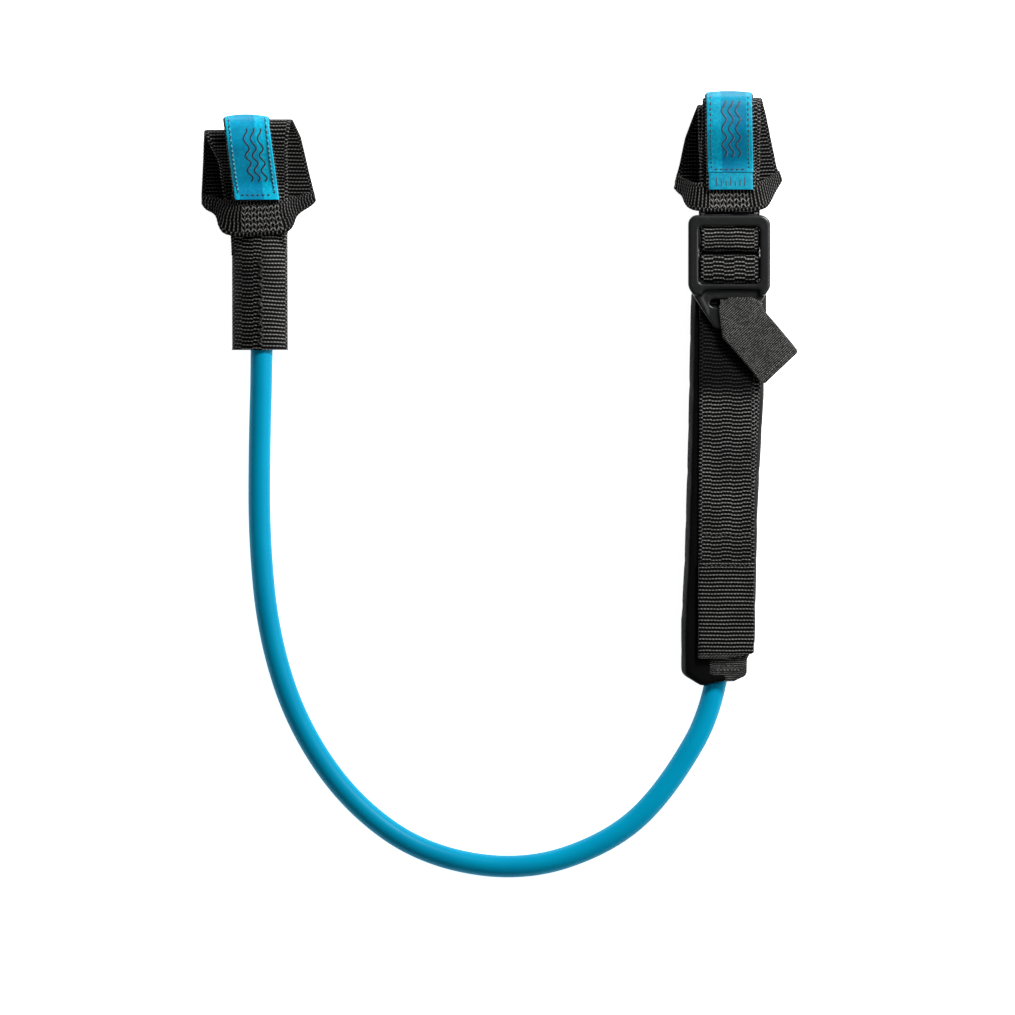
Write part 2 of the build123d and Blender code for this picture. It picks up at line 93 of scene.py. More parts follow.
# ---- shader helpers ----
class Shader:
    """A material under construction, with short calls for the nodes used here."""

    def __init__(self, name):
        self.material = bpy.data.materials.new(name)
        self.material.use_nodes = True
        self.nodes = self.material.node_tree.nodes
        self.links = self.material.node_tree.links
        self.surface = self.nodes["Principled BSDF"]

    def feed(self, socket, value):
        """Links a socket to another node's output, or sets its value."""
        if isinstance(value, bpy.types.NodeSocket):
            self.links.new(value, socket)
        else:
            socket.default_value = value

    def set(self, **values):
        """Sets or links sockets of the surface shader; underscores stand for spaces."""
        for name, value in values.items():
            self.feed(self.surface.inputs[name.replace("_", " ")], value)

    def math(self, operation, a, b=0.0, c=0.0, clamp=False):
        node = self.nodes.new("ShaderNodeMath")
        node.operation = operation
        node.use_clamp = clamp
        for socket, value in zip(node.inputs, (a, b, c)):
            self.feed(socket, value)
        return node.outputs[0]

    def times(self, a, b, clamp=False):
        return self.math("MULTIPLY", a, b, clamp=clamp)

    def plus(self, a, b):
        return self.math("ADD", a, b)

    def wave(self, angle):
        """A sine wave between 0 and 1."""
        return self.math("MULTIPLY_ADD", self.math("SINE", angle), 0.5, 0.5)

    def ribs(self, along):
        """1 on each rib's crest and 0 in the grooves between the ribs."""
        return self.math("ABSOLUTE", self.math("SINE", self.times(along, pi)))

    def mix(self, share, a, b):
        """A colour between a and b."""
        node = self.nodes.new("ShaderNodeMix")
        node.data_type = "RGBA"
        self.feed(node.inputs["Factor"], share)
        colours = [s for s in node.inputs if s.type == "RGBA"]
        for socket, value in zip(colours, (a, b)):
            self.feed(socket, value if isinstance(value, bpy.types.NodeSocket) else (*value, 1.0))
        return next(s for s in node.outputs if s.type == "RGBA")

    def weave_place(self):
        """Distance along the piece in ribs, and distance across it in millimetres."""
        node = self.nodes.new("ShaderNodeUVMap")
        node.uv_map = "weave"
        split = self.nodes.new("ShaderNodeSeparateXYZ")
        self.links.new(node.outputs["UV"], split.inputs[0])
        return split.outputs["X"], split.outputs["Y"]

    def object_place(self):
        return self.nodes.new("ShaderNodeTexCoord").outputs["Object"]

    def object_axes(self):
        """X, Y and Z in the part's own frame, in metres."""
        split = self.nodes.new("ShaderNodeSeparateXYZ")
        self.links.new(self.object_place(), split.inputs[0])
        return split.outputs

    def noise(self, scale, detail):
        node = self.nodes.new("ShaderNodeTexNoise")
        node.inputs["Scale"].default_value = scale
        node.inputs["Detail"].default_value = detail
        self.links.new(self.object_place(), node.inputs["Vector"])
        return node.outputs["Fac"]

    def ramp(self, value, low, high, to_low=0.0, to_high=1.0):
        node = self.nodes.new("ShaderNodeMapRange")
        node.interpolation_type = "SMOOTHSTEP"
        for socket, amount in zip(node.inputs, (value, low, high, to_low, to_high)):
            self.feed(socket, amount)
        return node.outputs[0]

    def bump(self, height, distance, strength):
        node = self.nodes.new("ShaderNodeBump")
        node.inputs["Distance"].default_value = distance
        node.inputs["Strength"].default_value = strength
        self.links.new(height, node.inputs["Height"])
        self.links.new(node.outputs[0], self.surface.inputs["Normal"])


# Crest colour: painted sheen on the black yarn. Groove colour: the black yarn darkened with painted shade.
YARN_AND_SHEEN = (0.27, 0.266, 0.256)
GROOVE = (0.0009, 0.0009, 0.001)
YARN_TWIST = 1.4
WARP_SPACING = 0.42
BRAID_ANGLE_PER_METRE = 2400.0
LABEL_BLUES = (
    (0.0, 0.26, 0.42), (0.002, 0.42, 0.60), (0.0, 0.16, 0.30), (0.0, 0.22, 0.39), (0.003, 0.48, 0.66),
)
LABEL_SHADE = (0.0, 0.11, 0.22)


def shaded(colour, gain):
    """A colour made darker or brighter."""
    return tuple(gain * c for c in colour)


def webbing_material(name, yarn, painted_shadow_beyond=None):
    """Ribbed polyester webbing: twisted yarn on each rib's crest, made light with painted sheen, and grooves
    between made near-black with painted shade.

    The last argument gives two places along Y, in millimetres: a painted shadow darkens the yarn from the
    first to the second."""
    m = Shader(name)
    along, across = m.weave_place()
    crest = m.ramp(m.ribs(along), 0.82, 1.0)
    twist = m.wave(m.plus(m.times(across, 2 * pi / YARN_TWIST), m.times(along, pi * 1.4)))
    wear = m.noise(90.0, 3.0)
    fluff = m.noise(2600.0, 2.0)
    light = m.times(crest, m.math("MULTIPLY_ADD", twist, 0.8, 0.24))
    light = m.times(light, m.ramp(wear, 0.25, 0.8, 0.65, 1.15))
    light = m.times(light, m.ramp(fluff, 0.2, 0.8, 0.6, 1.3), clamp=True)
    if painted_shadow_beyond:
        first, last = painted_shadow_beyond
        # Painted shadow: the yarn's colour falls to 0.14 of itself from the first place to the second and
        # beyond.
        light = m.times(light, m.ramp(m.object_axes()["Y"], first * MM, last * MM, 1.0, 0.14))
    # Painted sheen on the rib crests and painted shade in the grooves; the twist, wear and fluff marks are
    # the yarn's own.
    m.set(Base_Color=m.mix(light, GROOVE, yarn))
    m.set(Roughness=m.ramp(wear, 0.2, 0.8, 0.72, 0.56), Specular_IOR_Level=0.04)
    m.bump(m.plus(m.times(twist, crest), m.times(fluff, 0.5)), 0.00012, 0.7)
    return m.material


def ribbon_material(name):
    """Fine grosgrain ribbon of the release tab and of the sleeve's end."""
    m = Shader(name)
    along, _ = m.weave_place()
    rib = m.ribs(along)
    speck = m.noise(1800.0, 2.0)
    fade = m.noise(60.0, 2.0)
    light = m.times(m.ramp(rib, 0.5, 0.98), m.ramp(speck, 0.3, 0.7, 0.15, 1.2))
    light = m.times(light, m.ramp(fade, 0.3, 0.7, 0.75, 1.1), clamp=True)
    # Painted sheen on each rib of the black ribbon; the specks and fades are the ribbon's own.
    m.set(Base_Color=m.mix(light, (0.002, 0.002, 0.0022), (0.15, 0.148, 0.143)))
    m.set(Roughness=m.ramp(fade, 0.2, 0.8, 0.66, 0.54), Specular_IOR_Level=0.1)
    m.bump(m.plus(rib, m.times(speck, 0.6)), 0.0001, 0.7)
    return m.material


def label_material(name, panel, gain):
    """Woven satin label: bright blue, with a deeper blue panel and fine threads across it.

    panel gives the two edges of the deeper blue, across the label."""
    m = Shader(name)
    along, across = m.weave_place()
    threads = m.wave(m.times(along, 2 * pi))
    warp = m.wave(m.times(across, 2 * pi / WARP_SPACING))
    fleck = m.noise(900.0, 3.0)
    cloud = m.noise(75.0, 2.0)
    bright_low, bright_high, deep_low, deep_high, highlight = (shaded(blue, gain) for blue in LABEL_BLUES)
    bright = m.mix(m.ramp(fleck, 0.35, 0.7), bright_low, bright_high)
    deep = m.mix(m.ramp(fleck, 0.35, 0.7), deep_low, deep_high)
    left, right = panel
    inside = m.times(m.ramp(across, left, left + 0.4), m.ramp(across, right, right - 0.4))
    shade = m.mix(inside, bright, deep)
    shade = m.mix(m.ramp(cloud, 0.35, 0.75, 0.0, 0.35), shade, highlight)
    m.set(Base_Color=m.mix(m.times(threads, 0.25), shade, LABEL_SHADE))
    m.set(Roughness=m.ramp(fleck, 0.2, 0.8, 0.46, 0.36), Specular_IOR_Level=0.18)
    m.bump(m.plus(threads, m.times(warp, 0.6)), 0.00006, 0.6)
    return m.material


def thread_material(name, colour, sheen=0.3):
    """Twisted sewing thread."""
    m = Shader(name)
    along, across = m.weave_place()
    twist = m.wave(m.times(m.plus(along, across), 2 * pi))
    m.set(Base_Color=m.mix(twist, shaded(colour, 0.45), colour))
    m.set(Roughness=m.ramp(twist, 0.0, 1.0, 0.5, 0.38))
    m.set(Sheen_Weight=sheen, Specular_IOR_Level=0.5)
    m.bump(twist, 0.00008, 0.6)
    return m.material


def plastic_material(name):
    """Satin black acetal with a fine spark-eroded grain and light handling wear."""
    m = Shader(name)
    grain = m.noise(3200.0, 3.0)
    rub = m.noise(70.0, 4.0)
    scratch = m.noise(420.0, 6.0)
    m.set(Base_Color=m.mix(m.ramp(rub, 0.4, 0.75), (0.0045, 0.0048, 0.005), (0.009, 0.0092, 0.0095)))
    worn = m.plus(m.ramp(rub, 0.3, 0.75, 0.34, 0.26), m.ramp(scratch, 0.55, 0.75, 0.0, 0.08))
    m.set(Roughness=worn, Specular_IOR_Level=0.5)
    m.bump(m.plus(grain, m.times(scratch, 0.25)), 0.00004, 0.25)
    return m.material


def tube_material(name):
    """Satin blue polyurethane with faint extrusion ripples and hook scuffs."""
    m = Shader(name)
    ripple = m.noise(35.0, 2.0)
    scuff = m.noise(650.0, 5.0)
    m.set(Base_Color=m.mix(m.ramp(ripple, 0.3, 0.7), (0.0, 0.292, 0.5), (0.0, 0.322, 0.53)))
    m.set(Roughness=m.plus(0.34, m.ramp(scuff, 0.5, 0.85, 0.0, 0.16)), Specular_IOR_Level=0.06)
    m.bump(m.plus(ripple, m.times(scuff, 0.02)), 0.0004, 0.25)
    return m.material


def cover_material(name):
    """Smooth laminated sleeve cover with a fine cloth grain and soft creases."""
    m = Shader(name)
    cloth = m.noise(2200.0, 2.0)
    crease = m.noise(55.0, 3.0)
    m.set(Base_Color=m.mix(m.ramp(cloth, 0.3, 0.7), (0.0008, 0.0008, 0.001), (0.003, 0.003, 0.0034)))
    m.set(Roughness=m.ramp(crease, 0.25, 0.75, 0.62, 0.5), Specular_IOR_Level=0.06)
    m.bump(m.plus(crease, m.times(cloth, 0.06)), 0.0009, 0.35)
    return m.material


def rope_material(name):
    """Braided rope: two sets of strands that cross at a slant."""
    m = Shader(name)
    axes = m.object_axes()
    strands = []
    for operation in ("ADD", "SUBTRACT"):
        slant = m.math(operation, axes["X"], axes["Y"])
        strands.append(m.math("SINE", m.times(slant, BRAID_ANGLE_PER_METRE)))
    braid = m.math("MAXIMUM", *strands)
    m.set(Base_Color=m.mix(m.ramp(braid, 0.0, 0.9), (0.25, 0.25, 0.23), (0.62, 0.61, 0.56)))
    m.set(Roughness=m.ramp(braid, 0.0, 1.0, 0.9, 0.7), Sheen_Weight=0.2)
    m.bump(braid, 0.0003, 0.8)
    return m.material


WEBBING = webbing_material("webbing", YARN_AND_SHEEN)
# The tail's webbing, with a painted shadow of the buckle and its release tab on the end that lies under
# them.
WEBBING_PAINTED_SHADOW = webbing_material("webbing_painted_shadow", YARN_AND_SHEEN, painted_shadow_beyond=(-8.0, 2.0))
# A copy of the webbing with its yarn at 0.62: painted shade for the loops' back legs and the bands.
WEBBING_PAINTED_SHADE = webbing_material("webbing_painted_shade", shaded(YARN_AND_SHEEN, 0.62))
RIBBON = ribbon_material("ribbon")
# The left label's blues are raised half again: painted light on its slope, which lies in shade under the key
# light.
LABEL_LEFT = label_material("label_left", (-7.6, 3.2), gain=1.5)
LABEL_RIGHT = label_material("label_right", (-3.8, 7.4), gain=0.84)
LABEL_SIZE = label_material("label_size", (30.0, 31.0), gain=0.72)
THREAD = thread_material("thread", (0.26, 0.255, 0.245), sheen=0.05)
THREAD_DARK = thread_material("thread_dark", (0.014, 0.014, 0.014), sheen=0.0)
LABEL_THREAD = thread_material("label_thread", (0.004, 0.045, 0.085))
LABEL_THREAD_LIGHT = thread_material("label_thread_light", (0.10, 0.60, 0.80), sheen=0.1)
MARK = thread_material("label_mark", (0.003, 0.05, 0.10))
COVER_THREAD = thread_material("cover_thread", (0.06, 0.06, 0.06), sheen=0.0)
PLASTIC = plastic_material("buckle_plastic")
TUBE = tube_material("tube_pu")
COVER = cover_material("sleeve_cover")
ROPE = rope_material("rope")


# ---- the tube: one route, the same as the CAD's ----
ROUTE = [
    (-102.6, 54.0, LEFT_TUBE_Z), (-102.3, 14.5, LEFT_TUBE_Z), (-103.5, -26.0, TUBE_R),
    (-103.5, -66.0, TUBE_R + 0.02), (-99.5, -106.5, TUBE_R), (-87.5, -144.5, TUBE_R),
    (-64.5, -178.5, TUBE_R), (-32.5, -201.5, TUBE_R), (10.5, -208.5, TUBE_R), (48.5, -195.5, TUBE_R),
    (72.0, -173.5, TUBE_R), (96.0, -131.5, RIGHT_TUBE_Z), (96.5, -92.0, RIGHT_TUBE_Z),
]


def make_tube():
    curve = bpy.data.curves.new("tube_line", "CURVE")
    curve.dimensions = "3D"
    spline = curve.splines.new("NURBS")
    spline.points.add(len(ROUTE) - 1)
    for point, place in zip(spline.points, ROUTE):
        point.co = (*(c * MM for c in place), 1.0)
    spline.order_u = 3
    spline.use_endpoint_u = True
    spline.resolution_u = 24
    curve.bevel_depth = TUBE_R * MM
    curve.bevel_resolution = 12
    curve.use_fill_caps = True
    piece = new_object("tube_hose", curve)
    curve.materials.append(TUBE)
    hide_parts("tube")
    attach(piece, "line")
    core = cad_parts["rope_core"]
    core.data.materials.clear()
    core.data.materials.append(ROPE)


make_tube()


# ---- courses: where a strap runs ----
LINE_STEP = 0.2
EDGE_SOFTENING = 16
TAB_SOFTENING = 5


def distances(points):
    """Distance along a line to each of its points."""
    gaps = np.linalg.norm(np.diff(points, axis=0), axis=1)
    return np.concatenate([[0.0], np.cumsum(gaps)])


def directions(points):
    """The unit direction of a line at each of its points."""
    tangent = np.gradient(points, axis=0)
    return tangent / np.linalg.norm(tangent, axis=1)[:, None]


def evenly(points, step):
    """The same line with points at an even spacing of about step."""
    at = distances(points)
    s = np.linspace(0.0, at[-1], max(3, int(at[-1] / step) + 1))
    return np.column_stack([np.interp(s, at, points[:, k]) for k in range(points.shape[1])])


def rounded(points, radii):
    """A line through points whose corners are arcs of the given radii."""
    points = [np.array(p, float) for p in points]
    line = [points[0]]
    for before, here, after, radius in zip(points, points[1:], points[2:], radii):
        a = (before - here) / np.linalg.norm(before - here)
        b = (after - here) / np.linalg.norm(after - here)
        half = acos(max(-1.0, min(1.0, float(a @ b)))) / 2
        turn = pi - 2 * half
        centre = here + (a + b) / np.linalg.norm(a + b) * radius / sin(half)
        first = here + a * radius / tan(half) - centre
        last = here + b * radius / tan(half) - centre
        for share in np.linspace(0.0, 1.0, max(3, int(turn * radius / LINE_STEP) + 1)):
            line.append(centre + (first * sin((1 - share) * turn) + last * sin(share * turn)) / sin(turn))
    line.append(points[-1])
    return evenly(np.array(line), LINE_STEP)


def edges_at(outline, y):
    """Lowest and highest x of a closed outline of (x, y) points at each y."""
    low = np.full(len(y), np.inf)
    high = np.full(len(y), -np.inf)
    bottom = min(p[1] for p in outline) + 1e-6
    top = max(p[1] for p in outline) - 1e-6
    y = np.clip(y, bottom, top)
    for (x0, y0), (x1, y1) in zip(outline, outline[1:] + outline[:1]):
        if y0 == y1:
            continue
        share = (y - y0) / (y1 - y0)
        x = x0 + (x1 - x0) * share
        here = (share >= 0) & (share <= 1)
        low = np.where(here, np.minimum(low, x), low)
        high = np.where(here, np.maximum(high, x), high)
    return low, high


def softened(values, width):
    """A running mean, so that a strap's edges have no kinks."""
    return np.convolve(np.pad(values, width, "edge"), np.ones(width) / width, "same")[width:-width]


class Course:
    """Middle line, way across, way up and half width at even distances along a strap."""

    def __init__(self, middle, across, up, half):
        self.middle = middle
        self.across = across
        self.up = up
        self.half = half
        self.s = distances(middle)
        self.length = float(self.s[-1])

    def _at(self, values, s):
        return np.stack([np.interp(s, self.s, values[:, k]) for k in range(3)], axis=-1)

    def half_at(self, s):
        return np.interp(s, self.s, self.half)

    def place(self, s, v, h):
        """The point at distance s along, v across and h above the middle of the strap."""
        s = np.asarray(s, float)
        v = np.asarray(v, float)[..., None]
        h = np.asarray(h, float)[..., None]
        return self._at(self.middle, s) + v * self._at(self.across, s) + h * self._at(self.up, s)

    def s_at(self, axis, value):
        """Distance along at which the middle line first comes nearest to a value of x (0) or y (1)."""
        return float(self.s[np.argmin(np.abs(self.middle[:, axis] - value))])


def side_course(side_view, radii, outline):
    """A course with a side view of (y, z) points, cut to an outline seen from above."""
    line = rounded(side_view, radii)
    low, high = edges_at(outline, line[:, 0])
    low = softened(low, EDGE_SOFTENING)
    high = softened(high, EDGE_SOFTENING)
    tangent = directions(line)
    zeros = np.zeros(len(line))
    return Course(
        np.column_stack([(low + high) / 2, line]),
        np.column_stack([zeros + 1.0, zeros, zeros]),
        np.column_stack([zeros, -tangent[:, 1], tangent[:, 0]]),
        (high - low) / 2,
    )


WOBBLE_WAVES = 4


def wobble(s, seed, wavelength):
    """Gentle irregular waves between about -1 and 1."""
    rng = np.random.default_rng(seed)
    total = np.zeros_like(np.asarray(s, float))
    for _ in range(WOBBLE_WAVES):
        total += np.sin(2 * pi * s / (wavelength * rng.uniform(0.6, 1.7)) + rng.uniform(0, 2 * pi))
    return total / WOBBLE_WAVES


# ---- meshes ----
def link(name, mesh, material, body, replaces=()):
    """Makes a piece of a mesh, with its material, body, finish and the CAD nodes that it stands for.

    body is one body's name, which the piece is attached to; when it is two names and the two places between
    which the piece bends, the piece is left unattached where it stands."""
    piece = new_object(name, mesh)
    mesh.materials.append(material)
    mesh.shade_smooth()
    if isinstance(body, str):
        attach(piece, body)
    else:
        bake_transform(piece)
    if replaces:
        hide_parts(*replaces)
    return piece


def to_mesh(name, parts):
    """A mesh of parts; each is its points in millimetres, its faces and its points' weave coordinates."""
    faces = []
    count = 0
    for part_points, part_faces, _ in parts:
        faces += [tuple(i + count for i in face) for face in part_faces]
        count += len(part_points)
    mesh = bpy.data.meshes.new(name)
    mesh.from_pydata((np.concatenate([part[0] for part in parts]) * MM).tolist(), [], faces)
    layer = mesh.uv_layers.new(name="weave")
    corners = np.empty(len(mesh.loops), dtype=np.int32)
    mesh.loops.foreach_get("vertex_index", corners)
    uv = np.concatenate([part[2] for part in parts])
    layer.data.foreach_set("uv", uv.astype(np.float32)[corners].ravel())
    work = bmesh.new()
    work.from_mesh(mesh)
    bmesh.ops.recalc_face_normals(work, faces=work.faces)
    work.to_mesh(mesh)
    work.free()
    return mesh


def side_faces(rows, ring):
    """Faces round the sides of a tube that is made of rows of ring points each."""
    faces = []
    for here in range(0, (rows - 1) * ring, ring):
        beyond = here + ring
        for k in range(ring):
            after = (k + 1) % ring
            faces.append((here + k, here + after, beyond + after, beyond + k))
    return faces


def capped_faces(rows, ring):
    """Faces of a thin tube with one face across each end."""
    last = (rows - 1) * ring
    return side_faces(rows, ring) + [tuple(range(ring)), tuple(range(last, last + ring))]


def strip_faces(rows, columns):
    """Faces of a flat closed tube: a ring has the top columns one way and the bottom ones back."""
    ring = 2 * columns - 2
    faces = side_faces(rows, ring)
    for base in (0, (rows - 1) * ring):
        for j in range(columns - 1):
            corners = [base + j, base + j + 1, base + (ring - j - 1) % ring, base + (ring - j) % ring]
            faces.append(tuple(dict.fromkeys(corners)))
    return faces


def there_and_back(top, bottom):
    """Rows of a ring's values: the top's one way, then the bottom's back, with the shared ends once."""
    return np.concatenate([top, bottom[:, -2:0:-1]], axis=1)


def woven(
    course, start=0.0, end=None, thickness=WEB, pitch=2.0, rib=0.24, lines=(), lines_shift=0.5,
    selvedge=1.3, lift=0.0, curl=None, seed=1, skew=0.0, inset=0.0, ripple=0.12, middle_columns=13,
    bow=(0.0, 0.0),
):
    """Points, faces and weave coordinates of a ribbed strap along part of a course.

    lines are distances from the middle, as shares of the half width, where the weave shifts by
    lines_shift of a rib. curl(s, share, h) bends the strap's cross section, and bow is how far the
    middle of each end stands out beyond its corners."""
    end = course.length if end is None else end
    rows = max(4, int((end - start) / pitch * ROWS_PER_RIB)) + 1
    s = np.linspace(start, end, rows)
    half = course.half_at(s) - inset
    typical = float(np.mean(half))
    shares = list(np.sin(np.linspace(-pi / 2, pi / 2, middle_columns)))
    step = 0.12 / typical
    for line in lines:
        shares += [line - step, line + step]
    if selvedge:
        seam = 1 - selvedge / typical
        shares += [-seam - step, -seam, -seam + step, seam - step, seam, seam + step]
    shares = np.unique(np.round(np.clip(shares, -1, 1), 4))
    shift = np.zeros(len(shares))
    for n, line in enumerate(sorted(lines)):
        shift += np.where(shares > line, lines_shift * (1 if n % 2 == 0 else -1), 0.0)
    groove = np.ones(len(shares))
    if selvedge:
        shift += np.where(np.abs(shares) > seam, 0.5, 0.0)
        groove = np.where(np.abs(np.abs(shares) - seam) < step / 2, 0.55, 1.0)
    S, T = np.meshgrid(s, shares, indexing="ij")
    V = T * half[:, None]
    along = (S - start) / (end - start)
    S = S + T**2 * (bow[0] * (1 - along) ** 3 - bow[1] * along**3)
    phase = S / pitch + shift[None, :] + skew * V / pitch + 0.12 * wobble(S + 3 * V, seed + 5, 37.0)
    crest = np.abs(np.sin(pi * phase)) ** 0.75
    edge_radius = 0.7 * thickness
    over = np.clip((np.abs(V) - (half[:, None] - edge_radius)) / edge_radius, 0, 1)
    rounding = np.sqrt(np.clip(1 - over**2, 0, 1))
    H = rounding * (thickness / 2 - rib + rib * crest * groove[None, :])
    drift = ripple * wobble(s, seed, 23.0)[:, None]
    wave = ripple * 0.6 * wobble(S + 0.7 * V, seed + 9, 31.0)
    V = V + drift + np.sign(T) * over * 0.12 * (np.abs(np.sin(pi * phase)) - 0.6)
    sides = []
    for sign in (1.0, -1.0):
        height = sign * H + wave
        across = V
        if curl:
            across, height = curl(S, T, height)
        sides.append(course.place(S, across, height + lift))
    top, bottom = sides
    uv = np.column_stack([there_and_back(phase, phase).ravel(), there_and_back(V, V).ravel()])
    return there_and_back(top, bottom).reshape(-1, 3), strip_faces(rows, len(shares)), uv


def strap(name, material, body, slot, *parts, replaces=()):
    """A piece made of one or more woven straps."""
    return link(name, to_mesh(name, parts), material, body, replaces)


def webbing(node, body, *parts, material=WEBBING):
    """Webbing that stands for the CAD node of the same name."""
    return strap(node + "_webbing", material, body, "webbing", *parts, replaces=[node])


THREAD_SIDES = 6


def threads(name, spans, radius, material, body, slot, replaces=(), arch=0.35):
    """Sewing stitches; each span is (start, end, up), and the thread arches between its two holes."""
    parts = []
    shares = np.linspace(0.0, 1.0, 7)
    for span in spans:
        start, end, up = np.array(span, float)
        forward = end - start
        length = np.linalg.norm(forward)
        side = np.cross(forward / length, up)
        points, uv = [], []
        for share in shares:
            middle = start + forward * share + up * (arch * sin(pi * share) - 0.15)
            thick = radius * (0.45 + 0.55 * sin(pi * share) ** 0.5)
            for k in range(THREAD_SIDES):
                angle = 2 * pi * k / THREAD_SIDES
                points.append(middle + thick * (side * cos(angle) + up * sin(angle)))
                uv.append((share * length / 0.5, k / THREAD_SIDES))
        faces = capped_faces(len(shares), THREAD_SIDES)
        parts.append((np.array(points), faces, np.array(uv)))
    return link(name, to_mesh(name, parts), material, body, replaces)


def sewn(course, places, height):
    """Spans of stitches on a course; each place is (s0, v0, s1, v1)."""
    spans = []
    for s0, v0, s1, v1 in places:
        middle = ((s0 + s1) / 2, (v0 + v1) / 2)
        up = course.place(*middle, height + 1.0) - course.place(*middle, height)
        spans.append((course.place(s0, v0, height), course.place(s1, v1, height), up))
    return spans


def printed(name, course, strokes, width, body):
    """Thin raised marks on a label; each stroke is a list of (s, v) points."""
    parts = []
    for stroke in strokes:
        line = evenly(np.array(stroke, float), 0.4)
        tangent = directions(line)
        normal = np.column_stack([-tangent[:, 1], tangent[:, 0]])
        profile = ((-0.5, 0.0), (-0.3, 0.08), (0.3, 0.08), (0.5, 0.0))
        points, uv = [], []
        for share, rise in profile:
            offset = line + normal * width * share
            points.append(course.place(offset[:, 0], offset[:, 1], LABEL_TOP + rise))
            uv.append(np.column_stack([line[:, 0] / 0.5, line[:, 1] + share]))
        faces = capped_faces(len(line), len(profile))
        parts.append((np.stack(points, 1).reshape(-1, 3), faces, np.stack(uv, 1).reshape(-1, 2)))
    return link(name, to_mesh(name, parts), MARK, body)


# ---- left sleeve ----
LEFT_X = -103.2
SLEEVE_HALF = 12.3
SLEEVE_LOW = 16.4
SLEEVE_UNDER_BAND = 67.0
SLEEVE_FLARE = 0.45
SLEEVE_RISE = 9.7
SLEEVE_DROPS_FROM = 37.0
RIGHTWARD = (1, 0, 0)
UPWARD = (0, 0, 1)


def steady_course(middle, across, up, half):
    """A course with the same way across and the same way up all along."""
    ones = np.ones((len(middle), 1))
    return Course(middle, ones * np.array(across, float), ones * np.array(up, float), half * ones[:, 0])


def straight_course(start, end, across, half):
    """A straight course of an even width that lies flat."""
    return steady_course(evenly(np.array([start, end], float), 0.5), across, UPWARD, half)


def sleeve_curl(s, share, h):
    """Bends the front layer over the tube: flat at its sewn edges, and lower where it meets the loop."""
    reach = SLEEVE_HALF - WEB / 2 + SLEEVE_FLARE * np.exp(-s / 2.5)
    level = np.clip((s - SLEEVE_DROPS_FROM) / 10.0, 0, 1)
    rise = SLEEVE_RISE - 2.3 * level**2 * (3 - 2 * level)
    inner = np.clip(1 - share**2, 0, 1)
    slope = -rise * 1.5 * share * np.clip(inner, 0.004, 1) ** -0.25 / reach
    length = np.sqrt(1 + slope**2)
    return share * reach - h * slope / length, rise * inner**0.75 + h / length


left_sleeve_course = straight_course(
    (LEFT_X, SLEEVE_LOW, 1.5 * WEB), (LEFT_X, SLEEVE_UNDER_BAND, 1.5 * WEB), RIGHTWARD, SLEEVE_HALF
)
webbing(
    "left_sleeve_front", "line",
    woven(
        left_sleeve_course, pitch=1.62, curl=sleeve_curl, seed=3, middle_columns=31, ripple=0.0, skew=0.04,
        bow=(-0.9, 0.0), lines=(-0.64, -0.24, 0.05), lines_shift=0.3,
    ),
)
left_sleeve_back_course = straight_course(
    (LEFT_X, SLEEVE_LOW + 0.6, 0.5 * WEB), (LEFT_X - 0.1, SLEEVE_UNDER_BAND, 0.5 * WEB), RIGHTWARD,
    SLEEVE_HALF - 0.3,
)
webbing("left_sleeve_back", "line", woven(left_sleeve_back_course, pitch=1.62, seed=4, ripple=0.0))
SEAM_STEP = 2.1
SEAM_MIDDLE = 0.3
SEAM_HEIGHT = 10.75
seam = []
for i in range(18):
    s = 1.4 + i * SEAM_STEP
    lean = 1.15 if i % 2 else -1.15
    seam.append((s, SEAM_MIDDLE - lean, s + SEAM_STEP, SEAM_MIDDLE + lean))
threads(
    "left_sleeve_zigzag", sewn(left_sleeve_course, seam, SEAM_HEIGHT), 0.46, THREAD_DARK, "line", "thread",
    replaces=["left_sleeve_seam"],
)

# ---- left boom loop ----
left_outer_front = side_course(
    [(57.3, 11.2), (66.0, 9.8), (88.0, 9.8), (106.5, 22.0), (115.1, 22.0), (115.1, 11.4)], [12, 6, 8, 6],
    [(-115.4, 57), (-115.4, 96), (-114.6, 117), (-89.9, 117), (-91.5, 104), (-91.0, 57)],
)
left_inner_front = side_course(
    [(57.3, 3.0), (66.0, 8.0), (88.6, 8.0), (105.0, 19.2), (110.6, 19.6), (110.6, 11.0)], [12, 8, 3, 4.8],
    [(-115.6, 57), (-115.9, 66), (-118.7, 81), (-121.0, 97), (-126.9, 109), (-126.9, 113),
     (-102.0, 113), (-95.0, 85), (-91.4, 57)],
)
left_outer_back = side_course(
    [(115.1, 11.4), (115.1, 0.75), (77.8, 0.75)], [8],
    [(-114.0, 117), (-89.9, 117), (-85.6, 108.5), (-83.8, 101), (-79.5, 82.5), (-79.9, 80.4), (-82.0, 78.6),
     (-85.0, 77.2), (-103.0, 77.0)],
)
left_inner_back = side_course(
    [(110.6, 11.0), (110.6, 2.55), (76.6, 2.55)], [6],
    [(-127.2, 113), (-128.5, 82), (-128.1, 79.6), (-126.0, 77.4), (-123.6, 76.2), (-104.5, 76.0),
     (-103.0, 113)],
)
webbing(
    "left_loop_front", "line",
    woven(left_outer_front, start=9.5, pitch=1.62, seed=11),
    woven(left_inner_front, pitch=1.62, seed=12),
)
LEFT_LOOP_BEND = ("line", "left_choke", (-0.103, 0.113, 0.001), (-0.103, 0.082, 0.001))
webbing(
    "left_loop_back", LEFT_LOOP_BEND,
    woven(left_outer_back, pitch=1.6, seed=13),
    woven(left_inner_back, pitch=1.55, seed=14),
    material=WEBBING_PAINTED_SHADE,
)


